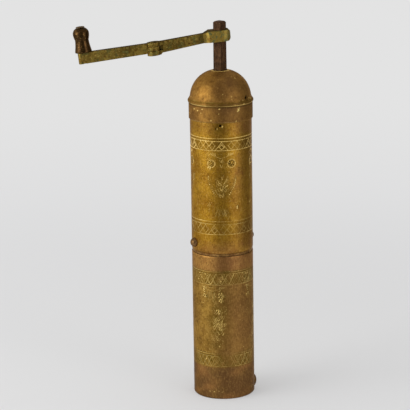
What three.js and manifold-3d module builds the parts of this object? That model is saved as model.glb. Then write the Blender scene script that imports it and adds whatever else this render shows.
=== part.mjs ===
// Cylindrical brass spice mill with a folding crank, in millimetres, +Z up.
// The origin is the centre of the base, on the surface that the mill stands on.
// Azimuths are degrees counter-clockwise from +X, seen from above. The front of the mill faces -Y.

import * as THREE from 'three';
import { mergeVertices } from 'three/addons/utils/BufferGeometryUtils.js';
import Module from 'manifold-3d';

const wasm = await Module();
wasm.setup();

// Clearances
const slipGap = 0.25;
const seatGap = 0.3;
const wallGap = 0.15;

// How far a hole is drawn past the face that it leaves
const runOut = 1;

// The two tubes, which share one diameter
const tubeRadius = 23;
const tubeWall = 1;
const tubeInner = tubeRadius - tubeWall;
const receiverHeight = 111.4;
const hopperHeight = 111;
const footChamfer = 0.8;
const basePlateThickness = 1.2;

// Domed stud low on the back of the receiver
const studHeadRadius = 5.2;
const studHeadRise = 2.2;
const studShankRadius = 1.5;
const studShankReach = 1.2;
const studHeight = 6.2;
const studAzimuth = 14;

// Coupling sleeve: fixed in the hopper, plugs into the receiver, with a narrow shoulder between the rims
const shoulderHeight = 1.9;
const shoulderInset = 0.6;
const sleeveWall = 1.2;
const spigotLength = 12;
const sleeveInsertion = 14.2;
const spigotLead = 0.6;
const sleeveOuter = tubeInner - slipGap;
const sleeveInner = sleeveOuter - sleeveWall;
const hopperBottom = receiverHeight + shoulderHeight;
const hopperTop = hopperBottom + hopperHeight;

// Domed rivets that hold the ring burr in the hopper
const rivetHeadSink = 2;
const rivetHeadRadius = 3.5;
const rivetHeadRise = 3.3;
const rivetShankRadius = 1.6;
const rivetReach = 3.8;
const rivetHeight = 6.4;
const leftRivetAzimuth = 206;
const rightRivetAzimuth = 27;

// Ring burr
const ringHeight = 17;
const ringDrop = 3.3;
const ringRadius = sleeveInner - slipGap;
const ringExitWall = 4.9;
const ringThroatWall = 6;
const ringMouthWall = 2.1;
const ringExitRadius = ringRadius - ringExitWall;
const ringThroatRadius = ringRadius - ringThroatWall;
const ringMouthRadius = ringRadius - ringMouthWall;
const throatHeight = 11;
const fineHeight = 3.6;
const zoneStep = 0.4;
const fineTeeth = 24;
const coarseTeeth = fineTeeth / 2;
const fineDepth = 0.9;
const coarseDepth = 1.7;
const mouthDepth = 0.6;
const toothLean = 2.2;
const ringBottom = hopperBottom - ringDrop;

// Cone burr
const burrGap = 0.7;
const coneRise = 0.6;
const coneFineTaper = 0.5;
const throatOpening = 3.9;
const mouthOpening = 10.8;
const coneThroatRadius = ringThroatRadius - throatOpening;
const coneTopRadius = ringMouthRadius - mouthOpening;
const coneHeight = 16.5;
const hubRadius = 6.5;
const hubHeight = 4.6;
const coneBottom = ringBottom + coneRise;
const coneTop = coneBottom + coneHeight;
const hubTop = coneTop + hubHeight;
const conePinRadius = 1.1;
const conePinDrop = 2.3;

// Spindle: a round bar, turned down for the cone burr and filed to a tapered square at the top
const spindleRadius = 5;
const spindleSeatRadius = 4;
const spindleRise = 35.7;
const squareLength = 48;
const squareSideBottom = 7;
const squareSideTop = 6.7;
const squareChamfer = 0.9;
const pivotLength = 2.7;
const pivotShoulderDrop = 0.7;
const pivotEngagement = 2;
const spindleShoulder = hubTop + seatGap;
const spindleSeatBottom = coneBottom - pivotShoulderDrop;
const pivotTip = spindleSeatBottom - pivotLength;

// Thrust pad and adjusting screw under the spindle
const padRadius = 4;
const padHeight = 2.6;
const padCupRadius = 3.1;
const padStemRadius = 2.5;
const padStemLength = 2.4;
const padTop = pivotTip + pivotEngagement;
const padBottom = padTop - padHeight;
const screwRadius = 2.5;
const screwLength = 8.5;
const thumbRadius = 7;
const thumbHeight = 4.5;
const thumbFlutes = 18;
const thumbFluteDepth = 0.7;
const thumbSlotWidth = 1.2;
const thumbSlotDepth = 1.4;
const screwTop = padBottom - padStemLength - seatGap;
const thumbTop = screwTop - screwLength;

// Bottom bridge, which carries the adjusting screw below the burrs
const bridgeWidth = 8;
const bridgeStrap = 2.2;
const bridgePadInner = ringExitRadius;
const bridgeBend = 1.6;
const bridgeBossRadius = 5;
const bridgeBossHeight = 4;
const bridgeAzimuth = 100;
const downTravel = 1.2;
const bridgeBossTop = padBottom - downTravel - seatGap;
const bridgeScrewRadius = 1.3;
const bridgeScrewInset = 2.2;
const bridgeScrewReach = ringRadius - bridgeScrewInset;
const bridgeScrewDepth = 4;
const bridgeScrewHeadRadius = 2.1;
const bridgeScrewHeadHeight = 1.8;
const bridgeScrewSlot = 0.7;

// Guide bridge across the top of the hopper
const guideWidth = 9;
const guideStrap = 1.8;
const guideTabWall = 1.6;
const guideTabLength = 12;
const guideBossRadius = 8.5;
const guideInset = 7;
const guideAzimuth = 268.5;
const guideHoleHeight = 13.6;
const guideHoleRadius = 1.1;
const openHoleRadius = 0.95;
const guideRivetHeadRadius = 1.6;
const guideRivetRise = 0.7;
const guideTop = hopperTop - guideInset;

// Lid: a skirt ring with a bead, and a dome soldered on it
const skirtWall = 0.55;
const skirtOverlap = 11.6;
const beadRadius = 1.45;
const beadReach = 1.35;
const beadDrop = 1.4;
const flangeWidth = 1.2;
const domeWall = 0.9;
const domeHeight = 23.6;
const domePower = 2.2;
const domeSink = 2.3;
const domeHoleGap = 0.8;
const ventRadius = 1;
const ventAzimuth = 325.7;
const ventRise = 1.9;
const skirtInner = tubeRadius + slipGap;
const skirtOuter = skirtInner + skirtWall;
const lidSeat = hopperTop + seatGap;
const beadCentreRadius = tubeRadius + beadReach - beadRadius;
const beadCentre = lidSeat + beadDrop;
const beadTop = beadCentre + beadRadius;
const domeBase = beadTop - domeSink;
const spindleTop = domeBase + domeHeight + spindleRise;

// Crank: the inner arm with its eye and fork
const crankAzimuth = 185;
const eyeInset = 10.2;
const eyeHeight = spindleTop - eyeInset;
const eyeDroopAngle = 4.4;
const armDroopAngle = 10.1;
const handleDroopAngle = 6.5;
const eyeHalfWidth = 6;
const eyeRise = 3.8;
const eyeDrop = 4.4;
const eyeBlockHeight = eyeRise + eyeDrop;
const eyeOuterReach = 8;
const eyeTaper = 4.2;
const eyeBackReach = 7.9;
const eyeEndChamfer = 1.6;
const armHalfWidth = 2.4;
const armHeightAtEye = 7;
const armHeightAtFork = 8.3;
const hingeReach = 49.1;
const forkRadius = 5;
const forkRise = 4.5;
const forkDrop = 5;
const forkHeight = forkRise + forkDrop;
const tongueHeight = 3;
const slotRoot = 5.3;
const slotSlant = 0.26;
const pocketRoot = 6.7;
const pocketEdge = 0.4;
const forkHeelReach = 6.2;
const hingePinRadius = 1.7;
const hingePinHeadRadius = 2.4;
const hingePinHeadRise = 0.4;

// Crank: the outer arm and the knob
const handleRise = 4.2;
const handleDrop = 3.2;
const handleEndDrop = 0.8;
const handleHeight = handleRise + handleDrop;
const handleKnobReach = 51.2;
const handleTipReach = 4.5;
const handleEnd = handleKnobReach + handleTipReach;
const tongueRadius = 4.8;
const heelHalfWidth = 2.3;
const knobPinRadius = 1.6;
const knobPinTailRadius = 2.4;
const knobPinTailDepth = 1.1;
const knobPinHeadRadius = 3.2;
const knobPinHeadHeight = 0.8;
const knobHeight = 17.9;
const knobBaseRadius = 6.15;
const knobNeckRadius = 5.05;
const knobNeckHeight = 9.2;
const knobBallRadius = 5.95;
const knobBallHeight = 13.9;
const knobLipHeight = 0.9;
const knobCrownRadius = 3.2;

// Facets
const wallFacets = 64;
const lidFacets = 48;
const smallFacets = 20;
const barFacets = 32;

const rad = THREE.MathUtils.degToRad;

// Colours and finish of each metal, after years of handling
function metal(color, roughness, metalness = 0.9) {
  return new THREE.MeshStandardMaterial({ color, roughness, metalness });
}
const goldenBrass = metal(0x9a7433, 0.42);
const brownBrass = metal(0x80602f, 0.45);
const greenBrass = metal(0x7a6b31, 0.6);
const darkBronze = metal(0x3a2a17, 0.3);
const brownIron = metal(0x5a4028, 0.6, 0.7);
const greyIron = metal(0x4a4643, 0.65, 0.8);
const steel = metal(0x77736c, 0.45);

// A revolved form about the Z axis; profile holds [radius, height] pairs
function lathe(profile, facets = wallFacets, start = 0) {
  const points = profile.map(([r, z]) => new THREE.Vector2(r, z));
  return new THREE.LatheGeometry(points, facets, start).rotateX(Math.PI / 2);
}

// A closed ring section needs its first point again at its end
function ring(profile, facets = wallFacets) {
  return lathe([...profile, profile[0]], facets);
}

function rod(radius, bottom, top, facets = smallFacets) {
  return lathe([[0, bottom], [radius, bottom], [radius, top], [0, top]], facets);
}

function box(sizeX, sizeY, sizeZ, x = 0, y = 0, z = 0) {
  return new THREE.BoxGeometry(sizeX, sizeY, sizeZ).translate(x, y, z);
}

// An outline in X and Y, raised from bottom to top
function slab(shape, bottom, top, curveSegments = 12) {
  const options = { depth: top - bottom, bevelEnabled: false, curveSegments };
  return new THREE.ExtrudeGeometry(shape, options).translate(0, 0, bottom);
}

// An outline in X and Z, spread evenly to both sides along Y
function web(shape, width) {
  const options = { depth: width, bevelEnabled: false };
  return new THREE.ExtrudeGeometry(shape, options)
    .translate(0, 0, -width / 2)
    .rotateX(Math.PI / 2);
}

function solid(geometry) {
  const bare = geometry.clone();
  bare.deleteAttribute('normal');
  bare.deleteAttribute('uv');
  const merged = mergeVertices(bare, 1e-4);
  return new wasm.Manifold(new wasm.Mesh({
    numProp: 3,
    vertProperties: new Float32Array(merged.attributes.position.array),
    triVerts: new Uint32Array(merged.index.array),
  }));
}

function surface(manifold) {
  const { vertProperties, triVerts } = manifold.getMesh();
  const geometry = new THREE.BufferGeometry();
  geometry.setAttribute('position', new THREE.BufferAttribute(vertProperties, 3));
  geometry.setIndex(new THREE.BufferAttribute(triVerts, 1));
  geometry.computeVertexNormals();
  return geometry;
}

function cut(body, ...tools) {
  const result = tools.reduce((rest, tool) => rest.subtract(solid(tool)), solid(body));
  return surface(result);
}

function join(body, ...others) {
  const result = others.reduce((sum, other) => sum.add(solid(other)), solid(body));
  return surface(result);
}

function common(body, other) {
  return surface(solid(body).intersect(solid(other)));
}

// A straight round tool that lies along the radius at an azimuth, between two distances from the axis
function radialRod(radius, from, to, azimuth, height) {
  return rod(radius, from, to).rotateY(Math.PI / 2).rotateZ(rad(azimuth)).translate(0, 0, height);
}

function piece(name, geometry, material) {
  const mesh = new THREE.Mesh(geometry, material);
  mesh.name = name;
  return mesh;
}

function group(...children) {
  const node = new THREE.Group();
  node.add(...children);
  return node;
}

// Points on an arc in a profile, from one angle to another, in degrees
function arc(centreR, centreZ, radius, from, to, steps) {
  const points = [];
  for (let i = 0; i <= steps; i += 1) {
    const angle = rad(from + (to - from) * i / steps);
    points.push([centreR + radius * Math.cos(angle), centreZ + radius * Math.sin(angle)]);
  }
  return points;
}

// A dome-headed rivet that points outward along X, its head bedded on a round wall
function wallRivet(headRadius, headRise, shankRadius, shankEnd, wallRadius) {
  const crown = wallRadius + headRise;
  const bed = wallRadius - rivetHeadSink;
  const capRadius = (headRadius ** 2 + headRise ** 2) / (2 * headRise);
  const rim = THREE.MathUtils.radToDeg(Math.acos(headRadius / capRadius));
  const dome = arc(0, crown - capRadius, capRadius, rim, 90, 4);
  dome[dome.length - 1][0] = 0;
  const head = lathe([[0, bed], [headRadius, bed], ...dome], smallFacets).rotateY(Math.PI / 2);
  const wall = rod(wallRadius + wallGap, -2 * headRadius, 2 * headRadius, wallFacets);
  const shank = rod(shankRadius, shankEnd, wallRadius + headRise / 2).rotateY(Math.PI / 2);
  return join(cut(head, wall), shank);
}

// Saw-tooth height at a share of one tooth: a slow rise to the edge, then a steep fall
function sawtooth(share, edge) {
  return share <= edge ? share / edge : (1 - share) / (1 - edge);
}

// A solid of revolution with leaning saw teeth. A station has its height, root radius, tooth depth
// and number of teeth; a coarse tooth spans two fine ones, so every ring has the same points.
function toothedSolid(stations) {
  const shares = [0, 0.35, 0.7];
  const count = fineTeeth * shares.length;
  const positions = [];
  const triangles = [];
  for (const station of stations) {
    const span = fineTeeth / station.teeth;
    const edge = span > 1 ? (1 + shares[2]) / 2 : shares[2];
    for (let k = 0; k < count; k += 1) {
      const place = Math.floor(k / shares.length) + shares[k % shares.length];
      const radius = station.root + station.depth * sawtooth((place / span) % 1, edge);
      const angle = 2 * Math.PI * place / fineTeeth + rad(toothLean * station.z);
      positions.push(radius * Math.cos(angle), radius * Math.sin(angle), station.z);
    }
  }
  const last = stations.length - 1;
  const bottomCentre = positions.length / 3;
  positions.push(0, 0, stations[0].z, 0, 0, stations[last].z);
  for (let k = 0; k < count; k += 1) {
    const next = (k + 1) % count;
    for (let s = 0; s < last; s += 1) {
      const a = s * count;
      const b = a + count;
      triangles.push(a + k, a + next, b + next, a + k, b + next, b + k);
    }
    triangles.push(bottomCentre, next, k);
    triangles.push(bottomCentre + 1, last * count + k, last * count + next);
  }
  const geometry = new THREE.BufferGeometry();
  geometry.setAttribute('position', new THREE.Float32BufferAttribute(positions, 3));
  geometry.setIndex(triangles);
  return geometry;
}

// The tapered square end of the spindle in its own place, grown by a gap on every face
function squareTaper(gap, from, to) {
  const slope = (squareSideTop - squareSideBottom) / squareLength;
  const half = (z) => (squareSideBottom + slope * (z - (spindleTop - squareLength))) / 2 + gap;
  const corner = (z) => half(z) * Math.SQRT2;
  const ends = [[0, from], [corner(from), from], [corner(to), to], [0, to]];
  return lathe(ends, 4, Math.PI / 2 + rad(crankAzimuth));
}

// Receiver: the lower tube, its base plate and the stud
function receiverTube() {
  const wall = ring([
    [tubeInner, 0],
    [tubeRadius - footChamfer, 0],
    [tubeRadius, footChamfer],
    [tubeRadius, receiverHeight],
    [tubeInner, receiverHeight],
  ]);
  const hole = radialRod(studShankRadius + wallGap, 0, 2 * tubeRadius, studAzimuth, studHeight);
  return piece('receiver_tube', cut(wall, hole), brownBrass);
}

function basePlate() {
  return piece('base_plate', rod(tubeInner - wallGap, 0, basePlateThickness, wallFacets), brownBrass);
}

function baseStud() {
  const shankEnd = tubeInner - studShankReach;
  const stud = wallRivet(studHeadRadius, studHeadRise, studShankRadius, shankEnd, tubeRadius);
  const mesh = piece('base_stud', stud, brownIron);
  mesh.rotation.z = rad(studAzimuth);
  mesh.position.z = studHeight;
  return mesh;
}

// Hopper: the upper tube with the rivet holes, and the open pin hole under the lid
function rivetHoles(wallFrom, wallTo) {
  const radius = rivetShankRadius + slipGap;
  const height = hopperBottom + rivetHeight;
  return [leftRivetAzimuth, rightRivetAzimuth].map(
    (azimuth) => radialRod(radius, wallFrom, wallTo, azimuth, height));
}

function hopperTube() {
  const wall = ring([
    [tubeInner, hopperBottom],
    [tubeRadius, hopperBottom],
    [tubeRadius, hopperTop],
    [tubeInner, hopperTop],
  ]);
  const pinHeight = hopperTop - guideHoleHeight;
  const openHole = radialRod(openHoleRadius, 0, 2 * tubeRadius, guideAzimuth, pinHeight);
  const rearHole = radialRod(guideHoleRadius, 0, 2 * tubeRadius, guideAzimuth + 180, pinHeight);
  const rivets = rivetHoles(0, 2 * tubeRadius);
  return piece('hopper_tube', cut(wall, openHole, rearHole, ...rivets), goldenBrass);
}

function couplingSleeve() {
  const spigotEnd = receiverHeight - spigotLength;
  const shoulder = tubeRadius - shoulderInset;
  const wall = ring([
    [sleeveInner, spigotEnd],
    [sleeveOuter - spigotLead, spigotEnd],
    [sleeveOuter, spigotEnd + spigotLead],
    [sleeveOuter, receiverHeight + slipGap],
    [shoulder, receiverHeight + slipGap],
    [shoulder, hopperBottom],
    [sleeveOuter, hopperBottom],
    [sleeveOuter, hopperBottom + sleeveInsertion],
    [sleeveInner, hopperBottom + sleeveInsertion],
  ], lidFacets);
  return piece('coupling_sleeve', cut(wall, ...rivetHoles(0, tubeRadius)), brownBrass);
}

function bodyRivet(name, azimuth) {
  const shankEnd = ringRadius - rivetReach + sleeveWall;
  const rivet = wallRivet(rivetHeadRadius, rivetHeadRise, rivetShankRadius, shankEnd, tubeRadius);
  const mesh = piece(name, rivet, brownIron);
  mesh.rotation.z = rad(azimuth);
  mesh.position.z = hopperBottom + rivetHeight;
  return mesh;
}

// Ring burr: a cast ring whose bore is a toothed throat, coarse above and fine at the exit
function ringBurr() {
  const top = ringBottom + ringHeight;
  const station = (z, root, depth, teeth) => ({ z, root, depth, teeth });
  const slope = (ringThroatRadius - ringExitRadius) / throatHeight;
  const crest = (z) => ringExitRadius + slope * z;
  const bore = toothedSolid([
    station(-runOut, crest(-runOut), fineDepth, fineTeeth),
    station(fineHeight, crest(fineHeight), fineDepth, fineTeeth),
    station(fineHeight + zoneStep, crest(fineHeight + zoneStep), coarseDepth, coarseTeeth),
    station(throatHeight, ringThroatRadius, coarseDepth, coarseTeeth),
    station(ringHeight, ringMouthRadius, mouthDepth, coarseTeeth),
    station(ringHeight + runOut, ringMouthRadius + runOut, mouthDepth, coarseTeeth),
  ]).translate(0, 0, ringBottom);
  const blank = rod(ringRadius, ringBottom, top, lidFacets);
  const blindHoles = rivetHoles(ringRadius - rivetReach + slipGap, tubeRadius);
  return piece('ring_burr', cut(blank, bore, ...blindHoles, ...bridgeScrewHoles()), greyIron);
}

// Bottom bridge: a strap joggled down to a boss for the adjusting screw, held up by two screws
function bridgeScrewHoles() {
  const holes = [];
  for (const side of [-1, 1]) {
    const radius = bridgeScrewRadius + slipGap;
    const from = ringBottom - bridgeStrap - runOut;
    const hole = rod(radius, from, ringBottom + bridgeScrewDepth + slipGap);
    holes.push(hole.translate(side * bridgeScrewReach, 0, 0).rotateZ(rad(bridgeAzimuth)));
  }
  return holes;
}

function bottomBridge() {
  const bossBottom = bridgeBossTop - bridgeBossHeight;
  const dip = bridgeBossTop - bridgeStrap;
  const shape = new THREE.Shape();
  shape.moveTo(-ringRadius, ringBottom);
  shape.lineTo(-ringRadius, ringBottom - bridgeStrap);
  shape.lineTo(-bridgePadInner, ringBottom - bridgeStrap);
  shape.lineTo(-bridgePadInner + bridgeBend, dip);
  shape.lineTo(bridgePadInner - bridgeBend, dip);
  shape.lineTo(bridgePadInner, ringBottom - bridgeStrap);
  shape.lineTo(ringRadius, ringBottom - bridgeStrap);
  shape.lineTo(ringRadius, ringBottom);
  shape.lineTo(bridgePadInner, ringBottom);
  shape.lineTo(bridgePadInner - bridgeBend, bridgeBossTop);
  shape.lineTo(-bridgePadInner + bridgeBend, bridgeBossTop);
  shape.lineTo(-bridgePadInner, ringBottom);
  const strap = web(shape, bridgeWidth);
  const boss = rod(bridgeBossRadius, bossBottom, bridgeBossTop);
  const bore = rod(screwRadius + slipGap, bossBottom - runOut, bridgeBossTop + runOut);
  const trim = rod(ringRadius, bossBottom - runOut, ringBottom + runOut, lidFacets);
  const bridge = common(join(strap, boss), trim).rotateZ(rad(bridgeAzimuth));
  return piece('bottom_bridge', cut(bridge, bore, ...bridgeScrewHoles()), brownBrass);
}

function bridgeScrew(name, side) {
  const seat = ringBottom - bridgeStrap;
  const shank = lathe([
    [0, seat - bridgeScrewHeadHeight],
    [bridgeScrewHeadRadius, seat - bridgeScrewHeadHeight],
    [bridgeScrewHeadRadius, seat],
    [bridgeScrewRadius, seat],
    [bridgeScrewRadius, ringBottom + bridgeScrewDepth],
    [0, ringBottom + bridgeScrewDepth],
  ], smallFacets);
  const slotZ = seat - bridgeScrewHeadHeight;
  const slot = box(3 * bridgeScrewHeadRadius, bridgeScrewSlot, 2 * bridgeScrewSlot, 0, 0, slotZ);
  const mesh = piece(name, cut(shank, slot), steel);
  const azimuth = rad(bridgeAzimuth);
  mesh.position.x = side * bridgeScrewReach * Math.cos(azimuth);
  mesh.position.y = side * bridgeScrewReach * Math.sin(azimuth);
  return mesh;
}

// Guide bridge: a strap across the top of the hopper with bent-down tabs and a boss for the spindle
function guideBridge() {
  const reach = tubeInner - wallGap;
  const under = guideTop - guideStrap;
  const strap = box(2 * tubeInner, guideWidth, guideTabLength, 0, 0, guideTop - guideTabLength / 2);
  const inside = tubeInner - guideTabWall;
  const middle = under - guideTabLength / 2;
  const hollow = box(2 * inside, 2 * guideWidth, guideTabLength, 0, 0, middle);
  const boss = rod(guideBossRadius, under, guideTop, barFacets);
  const trim = rod(reach, under - guideTabLength, guideTop + runOut, wallFacets);
  const bore = rod(spindleRadius + slipGap, under - runOut, guideTop + runOut, barFacets);
  const holes = radialRod(guideHoleRadius, -tubeRadius, tubeRadius, 0, hopperTop - guideHoleHeight);
  const bridge = cut(common(join(cut(strap, hollow), boss), trim), bore, holes);
  return piece('guide_bridge', bridge.rotateZ(rad(guideAzimuth)), brownBrass);
}

function guideRivet() {
  const shankRadius = guideHoleRadius - slipGap;
  const shankEnd = tubeInner - guideTabWall - seatGap;
  const rivet = wallRivet(guideRivetHeadRadius, guideRivetRise, shankRadius, shankEnd, tubeRadius);
  const mesh = piece('guide_rivet', rivet, brownBrass);
  mesh.rotation.z = rad(guideAzimuth + 180);
  mesh.position.z = hopperTop - guideHoleHeight;
  return mesh;
}

// Lid skirt: a thin ring over the tube, a half-round bead, and a flange that rests on the rim
function lidSkirt() {
  const lean = THREE.MathUtils.radToDeg(Math.acos((skirtOuter - beadCentreRadius) / beadRadius));
  const wall = ring([
    [skirtInner, hopperTop - skirtOverlap],
    [skirtOuter, hopperTop - skirtOverlap],
    ...arc(beadCentreRadius, beadCentre, beadRadius, -lean, 90, 6),
    [tubeInner - flangeWidth, beadTop],
    [tubeInner - flangeWidth, lidSeat],
    [skirtInner, lidSeat],
  ], lidFacets);
  return piece('lid_skirt', wall, brownBrass);
}

// Lid dome: a raised shell whose outline is a slightly squared ellipse, open around the spindle
function domeProfile(reach, height, holeRadius, base) {
  const points = [];
  const steps = 7;
  const start = Math.asin((base / height) ** (domePower / 2));
  const end = Math.acos((holeRadius / reach) ** (domePower / 2));
  for (let i = 0; i <= steps; i += 1) {
    const angle = start + (end - start) * i / steps;
    const radius = reach * Math.cos(angle) ** (2 / domePower);
    points.push([radius, height * Math.sin(angle) ** (2 / domePower)]);
  }
  return points;
}

function lidDome() {
  const holeRadius = squareSideBottom / Math.SQRT2 + domeHoleGap;
  const outer = domeProfile(tubeRadius, domeHeight, holeRadius, domeSink);
  const inner = domeProfile(tubeRadius - domeWall, domeHeight - domeWall, holeRadius, domeSink);
  const shell = ring([...outer, ...inner.reverse()], lidFacets).translate(0, 0, domeBase);
  const vent = radialRod(ventRadius, 0, 2 * tubeRadius, ventAzimuth, beadTop + ventRise);
  return piece('lid_dome', cut(shell, vent), brownBrass);
}

// Spindle, cone burr and the pin that locks them
function driveShaft() {
  const squareBottom = spindleTop - squareLength;
  const bar = lathe([
    [0, pivotTip],
    [spindleSeatRadius, spindleSeatBottom],
    [spindleSeatRadius, spindleShoulder],
    [spindleRadius, spindleShoulder],
    [spindleRadius, squareBottom],
    [0, squareBottom + spindleRadius],
  ], barFacets);
  const chamferStart = spindleTop - squareChamfer;
  const square = squareTaper(0, squareBottom - runOut, chamferStart);
  const half = squareSideTop / 2;
  const chamfer = lathe([
    [0, chamferStart],
    [half * Math.SQRT2, chamferStart],
    [(half - squareChamfer) * Math.SQRT2, spindleTop],
    [0, spindleTop],
  ], 4, Math.PI / 2 + rad(crankAzimuth));
  const pinHole = conePinHole();
  return piece('drive_shaft', cut(join(bar, square, chamfer), pinHole), brownIron);
}

function conePinHole() {
  return radialRod(conePinRadius + slipGap, -2 * hubRadius, 2 * hubRadius, 0, hubTop - conePinDrop);
}

function coneBurr() {
  const exitCrest = ringExitRadius - burrGap;
  const fineCrest = exitCrest - coneFineTaper;
  const station = (z, crest, depth, teeth) => ({ z, root: crest - depth, depth, teeth });
  const slope = (coneThroatRadius - fineCrest) / (throatHeight - fineHeight);
  const blank = toothedSolid([
    station(0, exitCrest, fineDepth, fineTeeth),
    station(fineHeight, fineCrest, fineDepth, fineTeeth),
    station(fineHeight + zoneStep, fineCrest + slope * zoneStep, coarseDepth, coarseTeeth),
    station(throatHeight, coneThroatRadius, coarseDepth, coarseTeeth),
    station(coneHeight, coneTopRadius, mouthDepth, coarseTeeth),
  ]).translate(0, 0, coneBottom);
  const hub = rod(hubRadius, coneTop - runOut, hubTop, barFacets);
  const bore = rod(spindleSeatRadius + slipGap, coneBottom - runOut, hubTop + runOut, barFacets);
  return piece('cone_burr', cut(join(blank, hub), bore, conePinHole()), greyIron);
}

function conePin() {
  const pin = radialRod(conePinRadius, -hubRadius, hubRadius, 0, hubTop - conePinDrop);
  return piece('cone_pin', pin, steel);
}

// Thrust pad and adjusting screw
function thrustPad() {
  const stemBottom = padBottom - padStemLength;
  const cupDepth = padTop - (pivotTip - seatGap);
  const pad = lathe([
    [0, stemBottom],
    [padStemRadius, stemBottom],
    [padStemRadius, padBottom],
    [padRadius, padBottom],
    [padRadius, padTop],
    [padCupRadius + seatGap, padTop],
    [0, padTop - cupDepth],
  ], smallFacets);
  return piece('thrust_pad', pad, steel);
}

function adjustingScrew() {
  const shank = rod(screwRadius, thumbTop - runOut, screwTop);
  const outline = [];
  const steps = 4 * thumbFlutes;
  for (let i = 0; i < steps; i += 1) {
    const angle = 2 * Math.PI * i / steps;
    const radius = thumbRadius - thumbFluteDepth * (1 - Math.cos(thumbFlutes * angle)) / 2;
    outline.push(new THREE.Vector2(radius * Math.cos(angle), radius * Math.sin(angle)));
  }
  const head = slab(new THREE.Shape(outline), thumbTop - thumbHeight, thumbTop);
  const slotZ = thumbTop - thumbHeight;
  const slot = box(3 * thumbRadius, thumbSlotWidth, 2 * thumbSlotDepth, 0, 0, slotZ);
  return piece('adjusting_screw', cut(join(head, shank), slot), steel);
}

// Crank. Each part of it is drawn in a level frame and tilted by its own group.
const armBendAngle = armDroopAngle - eyeDroopAngle;
const handleBendAngle = handleDroopAngle - eyeDroopAngle;
const hingeDrop = -hingeReach * Math.tan(rad(armBendAngle));

function innerArmPlan() {
  const eyeCentre = eyeHalfWidth - eyeBackReach;
  const meet = Math.asin(armHalfWidth / forkRadius);
  const shape = new THREE.Shape();
  shape.moveTo(eyeOuterReach, -eyeHalfWidth);
  shape.lineTo(eyeOuterReach + eyeTaper, -armHalfWidth);
  shape.lineTo(hingeReach - forkRadius * Math.cos(meet), -armHalfWidth);
  shape.absarc(hingeReach, 0, forkRadius, meet - Math.PI, Math.PI - meet, false);
  shape.lineTo(eyeOuterReach + eyeTaper, armHalfWidth);
  shape.lineTo(eyeOuterReach, eyeHalfWidth);
  shape.lineTo(eyeCentre, eyeHalfWidth);
  shape.absarc(eyeCentre, 0, eyeHalfWidth, Math.PI / 2, 3 * Math.PI / 2, false);
  return shape;
}

function innerArmSide() {
  const drop = (x) => -x * Math.tan(rad(armBendAngle));
  const armStart = eyeOuterReach + eyeTaper;
  const forkStart = hingeReach - forkHeelReach;
  const forkEnd = hingeReach + 2 * forkRadius;
  const forkLine = (x) => hingeDrop - (x - hingeReach) * Math.tan(rad(handleBendAngle));
  const shape = new THREE.Shape();
  shape.moveTo(-eyeBackReach, -eyeDrop + eyeEndChamfer);
  shape.lineTo(-eyeBackReach + eyeEndChamfer, -eyeDrop);
  shape.lineTo(eyeOuterReach, -eyeDrop);
  shape.lineTo(armStart, drop(armStart) - armHeightAtEye / 2);
  shape.lineTo(forkStart, drop(forkStart) - armHeightAtFork / 2);
  shape.lineTo(hingeReach - forkRadius, forkLine(hingeReach - forkRadius) - forkDrop);
  shape.lineTo(forkEnd, forkLine(forkEnd) - forkDrop);
  shape.lineTo(forkEnd, forkLine(forkEnd) + forkRise);
  shape.lineTo(hingeReach - forkRadius, forkLine(hingeReach - forkRadius) + forkRise);
  shape.lineTo(forkStart, drop(forkStart) + armHeightAtFork / 2);
  shape.lineTo(armStart, drop(armStart) + armHeightAtEye / 2);
  shape.lineTo(eyeOuterReach, eyeRise);
  shape.lineTo(-eyeBackReach + eyeEndChamfer, eyeRise);
  shape.lineTo(-eyeBackReach, eyeRise - eyeEndChamfer);
  return shape;
}

// Places a tool drawn about the hinge pin into the frame of the eye
function atHinge(geometry) {
  return geometry.rotateY(rad(handleBendAngle)).translate(hingeReach, 0, hingeDrop);
}

// An outline from a root across the arm, cut at a slant, to beyond the hinge pin
function slantedRoot(root, from, to) {
  const shape = new THREE.Shape();
  shape.moveTo(2 * forkRadius, from);
  shape.lineTo(2 * forkRadius, to);
  shape.lineTo(-root + slotSlant * to, to);
  shape.lineTo(-root + slotSlant * from, from);
  return shape;
}

function innerArm() {
  const tall = 2 * eyeBlockHeight;
  const width = 4 * eyeHalfWidth;
  const blank = common(slab(innerArmPlan(), -tall, tall, 16), web(innerArmSide(), width));
  const below = eyeHeight - eyeBlockHeight;
  const squareHole = squareTaper(seatGap, below, eyeHeight + eyeBlockHeight)
    .translate(0, 0, -eyeHeight)
    .rotateZ(-rad(crankAzimuth))
    .rotateY(-rad(eyeDroopAngle));
  const slotHeight = tongueHeight + 2 * seatGap;
  const slot = atHinge(slab(slantedRoot(slotRoot, -width, width), -slotHeight / 2, slotHeight / 2));
  const pocketLength = pocketRoot + forkRadius;
  const pocketX = pocketLength / 2 - pocketRoot;
  const pocketY = pocketEdge + width / 2;
  const pocket = atHinge(box(pocketLength, width, slotHeight, pocketX, pocketY, 0));
  const pinHole = atHinge(rod(hingePinRadius + slipGap, -forkHeight, forkHeight));
  return piece('inner_arm', cut(blank, squareHole, slot, pocket, pinHole), greenBrass);
}

function hingePin() {
  const top = forkRise + wallGap;
  const bottom = -forkDrop - wallGap;
  const pin = lathe([
    [0, bottom - hingePinHeadRise],
    [hingePinRadius, bottom - hingePinHeadRise],
    [hingePinHeadRadius, bottom],
    [hingePinRadius, bottom],
    [hingePinRadius, top],
    [hingePinHeadRadius, top],
    [hingePinRadius, top + hingePinHeadRise],
    [0, top + hingePinHeadRise],
  ], smallFacets);
  return piece('hinge_pin', pin, brownBrass);
}

// Height of the underside of the outer arm where the knob pin's tail is spread
function knobPinTail() {
  const share = (handleKnobReach - forkRadius) / (handleEnd - forkRadius);
  return -handleDrop - handleEndDrop * share;
}

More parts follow.
